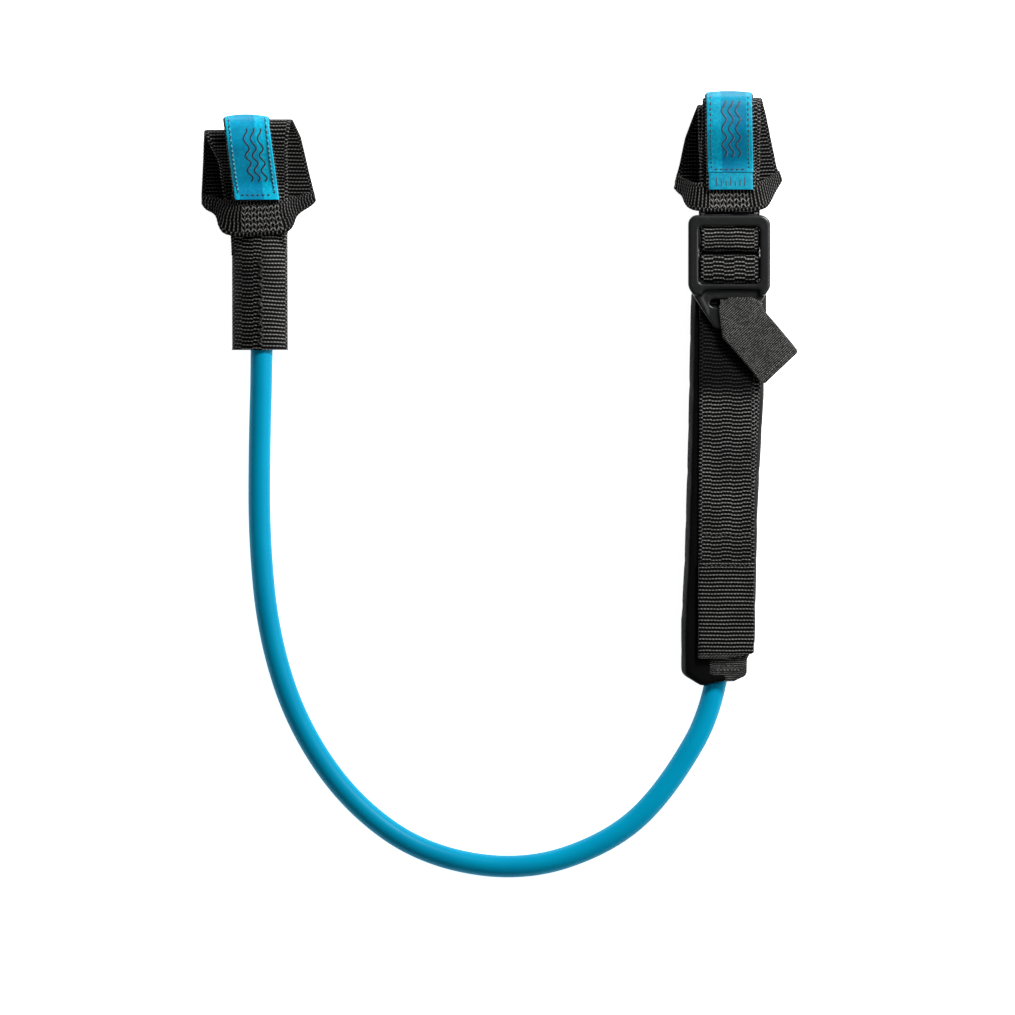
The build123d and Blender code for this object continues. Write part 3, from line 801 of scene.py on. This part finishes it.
# ---- bands: each loop's back legs turn and cross over the strap ----
def cut_corners(points, rounds=3):
    """Rounds a line by cutting its corners again and again."""
    points = np.array(points, float)
    for _ in range(rounds):
        near = 0.75 * points[:-1] + 0.25 * points[1:]
        far = 0.25 * points[:-1] + 0.75 * points[1:]
        points = np.concatenate([points[:1], np.stack([near, far], 1).reshape(-1, 3), points[-1:]])
    return points


def ruled_course(lower, upper):
    """A course between two edges; each rib runs from a point of one edge to its fellow on the other."""
    lower = cut_corners(lower)
    upper = cut_corners(upper)
    middle = (lower + upper) / 2
    width = np.linalg.norm(upper - lower, axis=1)
    across = (upper - lower) / width[:, None]
    up = np.cross(np.gradient(middle, axis=0), across)
    up /= np.linalg.norm(up, axis=1)[:, None]
    return Course(middle, across, up, width / 2)


def bar_tacks(side, course, x_low, x_high, v_low, v_high, rows, step, lean, radius):
    """Rows of dense zigzag stitches across a side's band, from one x to another."""
    s_low = course.s_at(0, x_low)
    s_high = course.s_at(0, x_high)
    places = []
    for row in range(rows):
        v = v_low + (v_high - v_low) * row / (rows - 1)
        for i in range(int((s_high - s_low) / step)):
            s = s_low + i * step
            rise = lean if i % 2 else -lean
            places.append((s, v - rise, s + step * 0.9, v + rise))
    spans = sewn(course, places, WEB / 2 - 0.05)
    threads(
        side + "_band_bar_tacks", spans, radius, THREAD, side + "_choke", "thread",
        replaces=[side + "_band_tacks"],
    )


LEFT_BAND_TOP = 11.6
left_band_course = ruled_course(
    [(-128.4, 79.2, 3.9), (-126.8, 76.8, 4.1), (-123.6, 75.4, 4.8), (-121.9, 73.6, 6.4), (-121.2, 69.6, 8.2),
     (-119.0, 66.2, 10.2), (-112.0, 65.2, LEFT_BAND_TOP), (-103.0, 65.6, LEFT_BAND_TOP),
     (-95.0, 66.4, LEFT_BAND_TOP), (-90.6, 67.4, 10.4), (-88.6, 70.2, 8.4), (-87.6, 74.2, 6.6),
     (-83.6, 77.0, 4.6), (-80.8, 78.6, 3.0), (-79.2, 80.4, 2.2)],
    [(-128.3, 83.4, 3.9), (-125.6, 83.2, 4.4), (-122.4, 82.6, 5.8), (-119.6, 81.6, 7.8), (-117.2, 81.2, 9.6),
     (-115.0, 80.8, 11.0), (-112.0, 80.4, LEFT_BAND_TOP), (-103.0, 80.4, LEFT_BAND_TOP),
     (-97.0, 80.8, LEFT_BAND_TOP), (-94.4, 81.2, 11.2), (-92.0, 81.8, 9.4), (-88.6, 82.6, 7.2),
     (-85.2, 83.4, 4.8), (-82.2, 84.2, 3.0), (-80.1, 84.8, 2.2)],
)
webbing(
    "left_band", "left_choke",
    woven(left_band_course, pitch=1.5, seed=21, rib=0.26, lines=(-0.2, 0.45), lines_shift=0.25),
    material=WEBBING_PAINTED_SHADE,
)
bar_tacks(
    "left", left_band_course, -110.8, -94.0, v_low=-5.0, v_high=4.6, rows=5, step=1.3, lean=0.75, radius=0.24
)

# ---- label flaps: each bends at its top, where it goes over the loop ----
LEFT_FLAP_BEND = ("line", "left_flap", (-0.109, 0.1185, 0.02), (-0.109, 0.1125, 0.02))
RIGHT_FLAP_BEND = ("carriage", "right_flap", (0.099, 0.1300, 0.02), (0.099, 0.1240, 0.02))
LABEL_MARGIN = 0.4
STITCH_PITCH = 2.2
STITCH_SHARE = 0.62
ZIGZAG = 0.45
LIGHT_STITCH = 0.84
WAVE_HEIGHT = 1.0
WAVE_LENGTH = 7.5


def left_flap_x(y):
    return -104.4 - 0.135 * (y - 81.0)


def right_flap_x(y):
    return 99.6 - 0.02 * (y - 93.0)


def leaning_outline(x_of, half, low, high):
    """An outline of an even width about a middle line x_of(y)."""
    return [
        (x_of(low) - half, low),
        (x_of(high) - half, high),
        (x_of(high) + half, high),
        (x_of(low) + half, low),
    ]


def satin(course, start, end, seed, inset, middle_columns=17, bow=(0.0, 0.0)):
    """A label's thin woven satin on a flap."""
    return woven(
        course, start=start, end=end, thickness=0.5, pitch=0.5, rib=0.03, selvedge=0, lift=LABEL_LIFT,
        seed=seed, ripple=0.06, inset=inset, middle_columns=middle_columns, bow=bow,
    )


def labelled_flap(side, course, bend, bow, seed, start, inset, material):
    """A flap's folded webbing, and the label that begins at distance start along it."""
    strap(
        side + "_flap_webbing", WEBBING, bend, "webbing",
        woven(course, thickness=2.0, pitch=1.6, seed=seed, rib=0.2, bow=bow, inset=-0.5),
        replaces=[side + "_label_flap"],
    )
    strap(
        side + "_label_satin", material, bend, "label",
        satin(course, start, course.length - LABEL_MARGIN, seed + 1, inset=inset, bow=bow),
        replaces=[side + "_label"],
    )


def label_stitches(s_low, s_high, half):
    """Running stitches down both long edges of a label and along its lower edge."""
    left, right, foot = [], [], []
    for i in range(int((s_high - s_low) / STITCH_PITCH)):
        s = s_low + i * STITCH_PITCH
        left.append((s, -half, s + STITCH_PITCH * STITCH_SHARE, -half))
        right.append((s, half, s + STITCH_PITCH * STITCH_SHARE, half))
    reach = half - 1.2
    across = int(2 * reach / STITCH_PITCH)
    for i in range(across):
        v = -reach + i * 2 * reach / across
        foot.append((s_low - 0.6, v, s_low - 0.6, v + STITCH_PITCH * STITCH_SHARE))
    return left, right, foot


def label_waves(name, course, s_low, s_high, middles, bend):
    """Plain wave lines that run along a label."""
    s = np.arange(s_low, s_high, 0.3)
    wave = WAVE_HEIGHT * np.sin(2 * pi * (s - s_low) / WAVE_LENGTH)
    printed(name, course, [list(zip(s, middle + wave)) for middle in middles], 0.8, bend)


left_flap_course = side_course(
    [(80.8, 13.8), (88.5, 13.8), (106.0, 24.4), (113.6, 24.4), (116.9, 18.6)], [10, 10, 3.6],
    leaning_outline(left_flap_x, 9.6, 70, 125),
)
labelled_flap(
    "left", left_flap_course, LEFT_FLAP_BEND, bow=(0.0, 2.0), seed=31, start=LABEL_MARGIN, inset=0.1,
    material=LABEL_LEFT,
)
left_edge, right_edge, foot = label_stitches(3.0, left_flap_course.length - 3, 7.9)
left_zigzag = [(s0, v0 - ZIGZAG, s1, v1 + ZIGZAG) for s0, v0, s1, v1 in left_edge]
threads(
    "left_label_running_stitch", sewn(left_flap_course, left_zigzag + right_edge + foot, LABEL_TOP),
    0.32, LABEL_THREAD, LEFT_FLAP_BEND, "label_thread", replaces=["left_label_stitching"],
)
between = [(s1, v0 + ZIGZAG, s1 + LIGHT_STITCH, v0 - ZIGZAG) for s0, v0, s1, v1 in left_edge + right_edge]
threads(
    "left_label_light_stitch", sewn(left_flap_course, between, LABEL_TOP), 0.3, LABEL_THREAD_LIGHT,
    LEFT_FLAP_BEND, "label_thread",
)
label_waves("left_label_waves", left_flap_course, 9.0, 34.0, (-1.4, 1.6, 4.6), LEFT_FLAP_BEND)

# ---- right boom loop ----
right_outer_front = side_course(
    [(75.4, 13.85), (95.5, 13.85), (113.0, 24.0), (124.4, 24.0), (124.4, 12.4)], [6, 8, 7],
    [(86.6, 75), (86.6, 96), (87.6, 126), (112.6, 126), (112.2, 96), (111.2, 75)],
)
right_inner_front = side_course(
    [(75.4, 12.05), (95.9, 12.05), (112.2, 21.5), (121.4, 21.6), (121.4, 12.0)], [7.8, 5, 6],
    [(86.2, 75), (86.2, 96), (85.4, 123), (109.6, 123), (111.0, 96), (110.8, 75)],
)
right_outer_back = side_course(
    [(124.4, 12.4), (124.4, 0.75), (84.8, 0.75)], [8],
    [(88.0, 126), (112.7, 126), (115.0, 118), (119.3, 96), (121.5, 90.4), (121.2, 88.6), (119.8, 86.4),
     (118.2, 84.4), (98.6, 84)],
)
right_inner_back = side_course(
    [(121.4, 12.0), (121.4, 2.55), (83.8, 2.55)], [6],
    [(85.6, 123), (80.0, 108), (77.4, 96), (75.4, 88.4), (75.8, 86.2), (77.6, 84.4), (79.2, 83.4),
     (95.6, 83), (108.0, 123)],
)
webbing(
    "right_loop_front", "carriage",
    woven(right_outer_front, pitch=1.62, seed=41),
    woven(right_inner_front, pitch=1.62, seed=42),
)
RIGHT_LOOP_BEND = ("carriage", "right_choke", (0.099, 0.122, 0.001), (0.099, 0.09, 0.001))
webbing(
    "right_loop_back", RIGHT_LOOP_BEND,
    woven(right_outer_back, pitch=1.62, seed=43),
    woven(right_inner_back, pitch=1.62, seed=44),
    material=WEBBING_PAINTED_SHADE,
)

RIGHT_BAND_TOP = 15.65
right_band_course = ruled_course(
    [(75.3, 85.8, 3.9), (77.0, 83.9, 4.6), (79.0, 82.6, 6.4), (79.9, 79.4, 9.6), (81.8, 77.2, 12.8),
     (85.4, 76.2, RIGHT_BAND_TOP), (92.0, 75.9, RIGHT_BAND_TOP), (99.0, 75.9, RIGHT_BAND_TOP),
     (107.0, 76.1, RIGHT_BAND_TOP), (112.2, 76.5, RIGHT_BAND_TOP), (115.4, 77.7, 13.0), (117.2, 80.8, 10.0),
     (118.6, 83.8, 6.8), (120.4, 86.8, 3.9), (121.8, 89.0, 2.2)],
    [(76.6, 92.2, 3.9), (78.0, 91.2, 5.0), (79.8, 90.2, 7.8), (81.8, 89.3, 11.0), (83.8, 88.7, 13.6),
     (86.4, 88.2, RIGHT_BAND_TOP), (92.0, 88.1, RIGHT_BAND_TOP), (99.0, 88.2, RIGHT_BAND_TOP),
     (106.0, 88.4, RIGHT_BAND_TOP), (109.8, 88.6, RIGHT_BAND_TOP), (112.4, 89.3, 13.4), (114.8, 90.4, 9.8),
     (116.9, 91.6, 6.4), (118.7, 92.8, 3.8), (120.2, 93.8, 2.2)],
)
webbing(
    "right_band", "right_choke",
    woven(right_band_course, pitch=1.5, seed=51, rib=0.26),
    material=WEBBING_PAINTED_SHADE,
)
bar_tacks(
    "right", right_band_course, 91.0, 108.5, v_low=-3.6, v_high=1.2, rows=3, step=1.4, lean=0.8, radius=0.26
)

right_flap_course = side_course(
    [(85.4, 17.8), (97.0, 17.8), (112.5, 26.4), (123.8, 26.4), (126.9, 19.6)], [12, 12, 3.6],
    leaning_outline(right_flap_x, 10.0, 70, 135),
)
SIZE_LABEL_END = 7.4
labelled_flap(
    "right", right_flap_course, RIGHT_FLAP_BEND, bow=(0.0, 1.6), seed=61, start=SIZE_LABEL_END + 0.3,
    inset=0.2, material=LABEL_RIGHT,
)
strap(
    "size_label_satin", LABEL_SIZE, "right_flap", "label",
    satin(right_flap_course, 0.2, SIZE_LABEL_END, 63, inset=0.5, middle_columns=13),
    replaces=["size_label"],
)
left_edge, right_edge, foot = label_stitches(SIZE_LABEL_END + 2.2, right_flap_course.length - 4, 8.1)
threads(
    "right_label_running_stitch", sewn(right_flap_course, left_edge + right_edge + foot, LABEL_TOP),
    0.3, LABEL_THREAD, RIGHT_FLAP_BEND, "label_thread", replaces=["right_label_stitching"],
)
label_waves("right_label_waves", right_flap_course, 15.5, 40.0, (-2.4, 0.6, 3.6), RIGHT_FLAP_BEND)

SCALE_START = 1.8
scale_ticks = []
for i, v in enumerate(np.linspace(-6, 6, 7)):
    tick = 3.6 if i % 3 == 0 else 2.2
    scale_ticks.append([(SCALE_START, v), (SCALE_START + tick, v)])
printed("size_label_scale", right_flap_course, scale_ticks, 0.6, "right_flap")


# ---- buckle ----
def softened_copy(name, node, voxel, rounds, material, body, shape=None):
    """A moulded piece or a soft cover: the CAD solid with all its edges softened, then shaped if asked."""
    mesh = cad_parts[node].data.copy()
    mesh.name = name
    mesh.materials.clear()
    piece = new_object(name, mesh)
    remesh = piece.modifiers.new("remesh", "REMESH")
    remesh.mode = "VOXEL"
    remesh.voxel_size = voxel * MM
    smooth = piece.modifiers.new("smooth", "SMOOTH")
    smooth.factor = 0.5
    smooth.iterations = rounds
    done = bpy.data.meshes.new_from_object(piece.evaluated_get(bpy.context.evaluated_depsgraph_get()))
    bpy.data.objects.remove(piece)
    if shape:
        flat = np.empty(3 * len(done.vertices))
        done.vertices.foreach_get("co", flat)
        done.vertices.foreach_set("co", (shape(flat.reshape(-1, 3) / MM) * MM).ravel())
        done.update()
    link(name, done, material, body, replaces=[node])


softened_copy("buckle_moulding", "buckle", 0.33, 16, PLASTIC, "buckle")

# ---- adjuster straps on the buckle ----
BLOCK_LINES = (-0.56, -0.18, 0.18, 0.56)


def flat_strap(side_view, radii, x_low, x_high):
    """A course of an even width between two values of x."""
    low, high = -200, 200
    return side_course(side_view, radii, [(x_low, low), (x_low, high), (x_high, high), (x_high, low)])


fixed_course = flat_strap(
    [(74.7, 13.85), (68.2, 13.85), (68.2, 20.75), (59.8, 20.75), (59.8, 16.0), (66.0, 12.05), (74.7, 12.05)],
    [1.2, 1.8, 1.8, 2.0, 3.0], 87.0, 111.2,
)
webbing(
    "fixed_strap", "buckle",
    woven(fixed_course, pitch=1.43, seed=71, lines=BLOCK_LINES, lines_shift=0.12, ripple=0.04),
)
grip_course = flat_strap(
    [(44.6, 12.6), (56.5, 15.4), (56.5, 20.75), (46.5, 20.75), (46.5, TAIL_Z), (44.6, TAIL_Z)],
    [1.6, 1.9, 1.9, 0.9], 86.6, 111.4,
)
webbing(
    "grip_roll", "buckle",
    woven(grip_course, pitch=1.66, seed=72, lines=BLOCK_LINES, lines_shift=0.35, ripple=0.04),
)

# ---- straps that cross the buckle's tilt: at its pivot, and at the sleeve's mouth ----
BUCKLE_PIVOT = ("carriage", "buckle", (0.099, 0.0795, 0.0146), (0.099, 0.0735, 0.0146))
SLEEVE_MOUTH = ("carriage", "buckle", (0.099, 0.0400, 0.0130), (0.099, 0.0460, 0.0130))
for name, bend, side_view, radii, x_low, x_high, thickness, pitch, seed in (
    ("under_strap", BUCKLE_PIVOT, [(45.0, 12.6), (79.4, 12.6)], [], 85.9, 112.2, 1.0, 1.9, 78),
    ("over_strap", BUCKLE_PIVOT, [(71.5, 13.85), (79.4, 13.85)], [], 87.0, 111.2, WEB, 1.9, 79),
    ("load_neck", SLEEVE_MOUTH, [(38.5, 11.7), (41.9, 11.7), (46.8, 12.8)], [3], 86.4, 110.6, 1.2, 1.9, 82),
    ("tail_neck", SLEEVE_MOUTH, [(39.5, 15.0), (47.2, 15.0)], [], 86.6, 110.0, 1.6, 1.95, 83),
):
    neck_course = flat_strap(side_view, radii, x_low, x_high)
    strap(
        name + "_webbing", WEBBING, bend, "webbing",
        woven(neck_course, thickness=thickness, pitch=pitch, seed=seed, ripple=0.0),
    )

# ---- load strap and tail ----
STRAP_END_Y = 44.2
LEAN = 6.2 / 170.0
LOAD_HALF = 12.0


def adjuster_x(y):
    """Middle line of the sleeve and of the strap that slides in it."""
    return 98.5 + (y - STRAP_END_Y) * LEAN


load_course = side_course(
    [(-113.0, LOAD_Z), (41.9, LOAD_Z), (STRAP_END_Y, 12.2)], [2],
    leaning_outline(adjuster_x, LOAD_HALF, -113, 60),
)
webbing("load_strap", "carriage", woven(load_course, thickness=1.4, pitch=1.9, seed=73, ripple=0.0))

TAIL_LOW = -116.4
FOLD_TOP = -74.6
FOLD_THICKNESS = 1.1
TAIL_PITCH = 1.63
BOX_STITCH_RISE = 0.5


def slides_short(piece):
    """Gives a piece of the free tail, which gets shorter as the line is lengthened, a mesh of its own."""
    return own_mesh(piece)


tail_course = side_course(
    [(TAIL_LOW, TAIL_Z), (STRAP_END_Y, TAIL_Z)], [],
    [(86.4, 60), (85.6, -117.2), (109.7, -115.6), (110.1, 60)],
)
slides_short(strap(
    "tail_webbing", WEBBING_PAINTED_SHADOW, "carriage", "webbing",
    woven(tail_course, pitch=TAIL_PITCH, seed=74, lines=BLOCK_LINES, lines_shift=0.22, ripple=0.1),
    replaces=["tail_strap"],
))
fold_z = TAIL_Z + WEB / 2 + 0.5
fold_course = side_course(
    [(TAIL_LOW - 0.3, fold_z), (FOLD_TOP, fold_z)], [],
    [(85.9, -60), (85.6, -117.2), (109.7, -115.6), (109.9, -60)],
)
slides_short(strap(
    "tail_fold_webbing", WEBBING, "carriage", "webbing",
    woven(fold_course, thickness=FOLD_THICKNESS, pitch=TAIL_PITCH, seed=75, ripple=0.1, selvedge=0),
    replaces=["tail_fold"],
))
tail_rows = []
for course, y, height in ((tail_course, -63.4, WEB / 2), (fold_course, -76.6, 0.5)):
    s = course.s_at(1, y)
    places = []
    for i in range(10):
        v = -9.5 + i * 2.05
        rise = BOX_STITCH_RISE if i % 2 else -BOX_STITCH_RISE
        places.append((s - rise, v, s + rise, v + 1.7))
    tail_rows += sewn(course, places, height)
slides_short(threads(
    "tail_box_stitch", tail_rows, 0.26, THREAD_DARK, "carriage", "thread", replaces=["tail_stitching"]
))

# ---- right sleeve: a soft hollow cover with a side seam ----
COVER_TOP = 13.9
COVER_MOUTH_Y = 41.2
COVER_SEAM_Z = 7.2
COVER_STITCH = 3.4


def sleeve_left_x(y):
    """Left edge of the sleeve."""
    return np.interp(y, [-123.0, -100.0, -75.0, -20.0, COVER_MOUTH_Y], [78.2, 78.2, 79.6, 81.2, 82.4])


def sleeve_right_x(y):
    """Right edge of the sleeve."""
    return np.interp(y, [-110.0, -52.0, 1.0, COVER_MOUTH_Y], [110.2, 111.4, 114.2, 115.4])


def cover_shape(points):
    """Rolls the sleeve's long sides over, pinches them at the seam, creases them and dents the mouth."""
    x, y, z = points.T
    middle = (sleeve_left_x(y) + sleeve_right_x(y)) / 2
    half = (sleeve_right_x(y) - sleeve_left_x(y)) / 2
    share = np.clip((x - middle) / half, -1.05, 1.05)
    side = np.abs(share) ** 9
    level = z / COVER_TOP
    over = side * np.clip(2 * level - 1, 0, 1) ** 2
    under = side * np.clip(1 - 2 * level, 0, 1) ** 2
    pinch = side * np.exp(-(((z - COVER_SEAM_Z) / 0.8) ** 2))
    crease = side * np.clip(wobble(y + 0.8 * z, 91, 21.0) + 0.15 * wobble(y - 1.5 * z, 92, 6.0), 0, 1)
    inward = 1.7 * over + 1.6 * under + 0.7 * pinch + 0.35 * crease
    mouth = np.clip((y - COVER_MOUTH_Y + 3.0) / 3.0, 0, 1) * np.clip(1 - ((z - 6.0) / 6.5) ** 2, 0, 1)
    dent = 3.2 * mouth * np.clip(1 - share**2, 0, 1)
    return np.column_stack([x - np.sign(share) * inward, y - dent, z - 1.2 * over + 1.3 * under])


def cover_stitches(edge_of, out, low):
    """A row of stitches along one side of the sleeve, above its seam."""
    spans = []
    for start in np.arange(low, COVER_MOUTH_Y - COVER_STITCH, COVER_STITCH):
        y = np.array([start, start + STITCH_SHARE * COVER_STITCH])
        ends = cover_shape(np.column_stack([edge_of(y), y, np.full(2, COVER_SEAM_Z + 3.0)]))
        spans.append((ends[0], ends[1], (out, 0, 0)))
    return spans


softened_copy(
    "right_sleeve_cover", "right_sleeve", 0.7, 10, COVER, "line", shape=cover_shape
)
side_stitches = cover_stitches(sleeve_left_x, -1, -117.0) + cover_stitches(sleeve_right_x, 1, -106.0)
threads("sleeve_side_stitch", side_stitches, 0.22, COVER_THREAD, "line", "thread", arch=0.12)
end_course = side_course(
    [(-126.4, 12.9), (-119.5, 14.2), (-112.0, 13.0)], [10],
    [(90.4, -100), (90.4, -124.4), (98.2, -126.6), (104.4, -125.6), (106.6, -123.8), (106.9, -100)],
)
strap(
    "sleeve_end_webbing", RIBBON, "line", "webbing",
    woven(end_course, thickness=1.0, pitch=0.9, seed=76, rib=0.1, selvedge=1.2),
    replaces=["right_sleeve_end"],
)
END_STITCH_Z = 14.55
end_row = []
for i in range(7):
    x = 93.4 + 1.5 * i
    end_row.append(((x, -121.6, END_STITCH_Z), (x + 1.0, -121.5, END_STITCH_Z), UPWARD))
threads("sleeve_end_stitch", end_row, 0.22, THREAD, "line", "thread")

EDGE_HALF = 3.2
EDGE_Z = 13.85
edge_y = np.linspace(-108.0, 40.6, 200)
edge_middle = np.column_stack([sleeve_right_x(edge_y) - 3.6, edge_y, np.full(len(edge_y), EDGE_Z)])
edge_course = steady_course(edge_middle, RIGHTWARD, UPWARD, EDGE_HALF)
edge_points, edge_faces, edge_uv = woven(
    edge_course, thickness=0.6, pitch=1.7, seed=77, rib=0.12, selvedge=1.5, ripple=0.1
)
strap("sleeve_edge_webbing", WEBBING, "line", "webbing", (cover_shape(edge_points), edge_faces, edge_uv))

# ---- release tab ----
TAB_Z = 19.65
TAB_TURN = radians(-46.7)
TAB_OUTLINE = [
    (94.6, 36.2), (98.8, 39.1), (108.8, 39.1), (112.2, 37.6), (114.2, 33.4), (126.3, 19.2), (128.5, 16.4),
    (128.4, 14.9), (114.9, 2.0), (112.3, 2.8), (102.6, 14.4), (96.2, 21.6), (94.6, 32.6),
]
TAB_BEND = ("buckle", "release_tab", (0.102, 0.0385, 0.0190), (0.102, 0.0335, 0.0190))


def tab_course():
    """The tab's course runs from the buckle's slot down to the right."""
    along = np.array([cos(TAB_TURN), sin(TAB_TURN)])
    across = np.array([sin(TAB_TURN), -cos(TAB_TURN)]) * -1
    local = [(float(np.dot(p, across)), float(np.dot(p, along))) for p in TAB_OUTLINE]
    s = np.linspace(min(p[1] for p in local) + 0.4, max(p[1] for p in local) - 0.3, 160)
    low, high = edges_at(local, s)
    low = softened(low, TAB_SOFTENING)
    high = softened(high, TAB_SOFTENING)
    plan = s[:, None] * along + ((low + high) / 2)[:, None] * across
    share = (s - s[0]) / (s[-1] - s[0])
    z = TAB_Z + 0.9 * np.sin(pi * share) ** 1.5 + 0.25 * np.sin(3 * pi * share) - 2.4 * share**2.5
    return steady_course(np.column_stack([plan, z]), (*across, 0.0), UPWARD, (high - low) / 2)


release_course = tab_course()
strap(
    "release_tab_ribbon", RIBBON, TAB_BEND, "ribbon",
    woven(release_course, thickness=1.3, pitch=0.82, seed=81, rib=0.1, selvedge=0.9, ripple=0.1),
    replaces=["release_tab"],
)
root_course = straight_course((95.0, 36.6, 17.6), (107.0, 36.6, 17.6), (0, 1, 0), 1.5)
strap(
    "release_tab_root", RIBBON, "buckle", "ribbon",
    woven(root_course, thickness=1.2, pitch=0.82, seed=84, rib=0.1, selvedge=0, ripple=0.0),
)
hem = []
hem_s = release_course.length - 2.4
for i in range(12):
    v = -8.0 + i * 1.35
    hem.append((hem_s, v, hem_s, v + 1.0))
threads(
    "release_tab_hem", sewn(release_course, hem, 0.6), 0.2, THREAD, "release_tab", "thread",
    replaces=["release_tab_stitching"],
)


# ---- studio ----
LIGHTS = (
    ("key", (0.45, 0.50, 0.55), 0.24, 9.8),
    ("side", (0.66, 0.03, 0.42), 0.09, 1.0),
    ("fill", (0.62, 0.1, 1.1), 0.5, 1.5),
)
LIGHTS_AIM = (0.0, -0.03, 0.0)
FLOOR_HALF = 3.0


def studio():
    """Pale floor, a soft key light from the upper right, a small side light and a high weak fill."""
    corners = [(-1, -1), (1, -1), (1, 1), (-1, 1)]
    mesh = bpy.data.meshes.new("floor")
    mesh.from_pydata([(x * FLOOR_HALF, y * FLOOR_HALF, 0) for x, y in corners], [], [(0, 1, 2, 3)])
    floor = new_object("floor", mesh)
    paint = Shader("floor_paint")
    paint.set(Base_Color=(0.9, 0.9, 0.9, 1.0), Roughness=0.9, Specular_IOR_Level=0.1)
    paint.set(Emission_Color=(1.0, 1.0, 1.0, 1.0), Emission_Strength=0.95)
    mesh.materials.append(paint.material)
    for name, place, width, power in LIGHTS:
        light = bpy.data.lights.new(name, "AREA")
        light.size = width
        light.energy = power
        lamp = new_object(name, light)
        lamp.location = place
        aim = Vector(LIGHTS_AIM) - Vector(place)
        lamp.rotation_euler = aim.to_track_quat("-Z", "Y").to_euler()
    world = bpy.data.worlds.new("world")
    world.use_nodes = True
    background = world.node_tree.nodes["Background"].inputs
    background["Color"].default_value = (0.9, 0.93, 0.96, 1.0)
    background["Strength"].default_value = 0.08
    bpy.context.scene.world = world
    bpy.context.scene.view_settings.view_transform = "Standard"


studio()
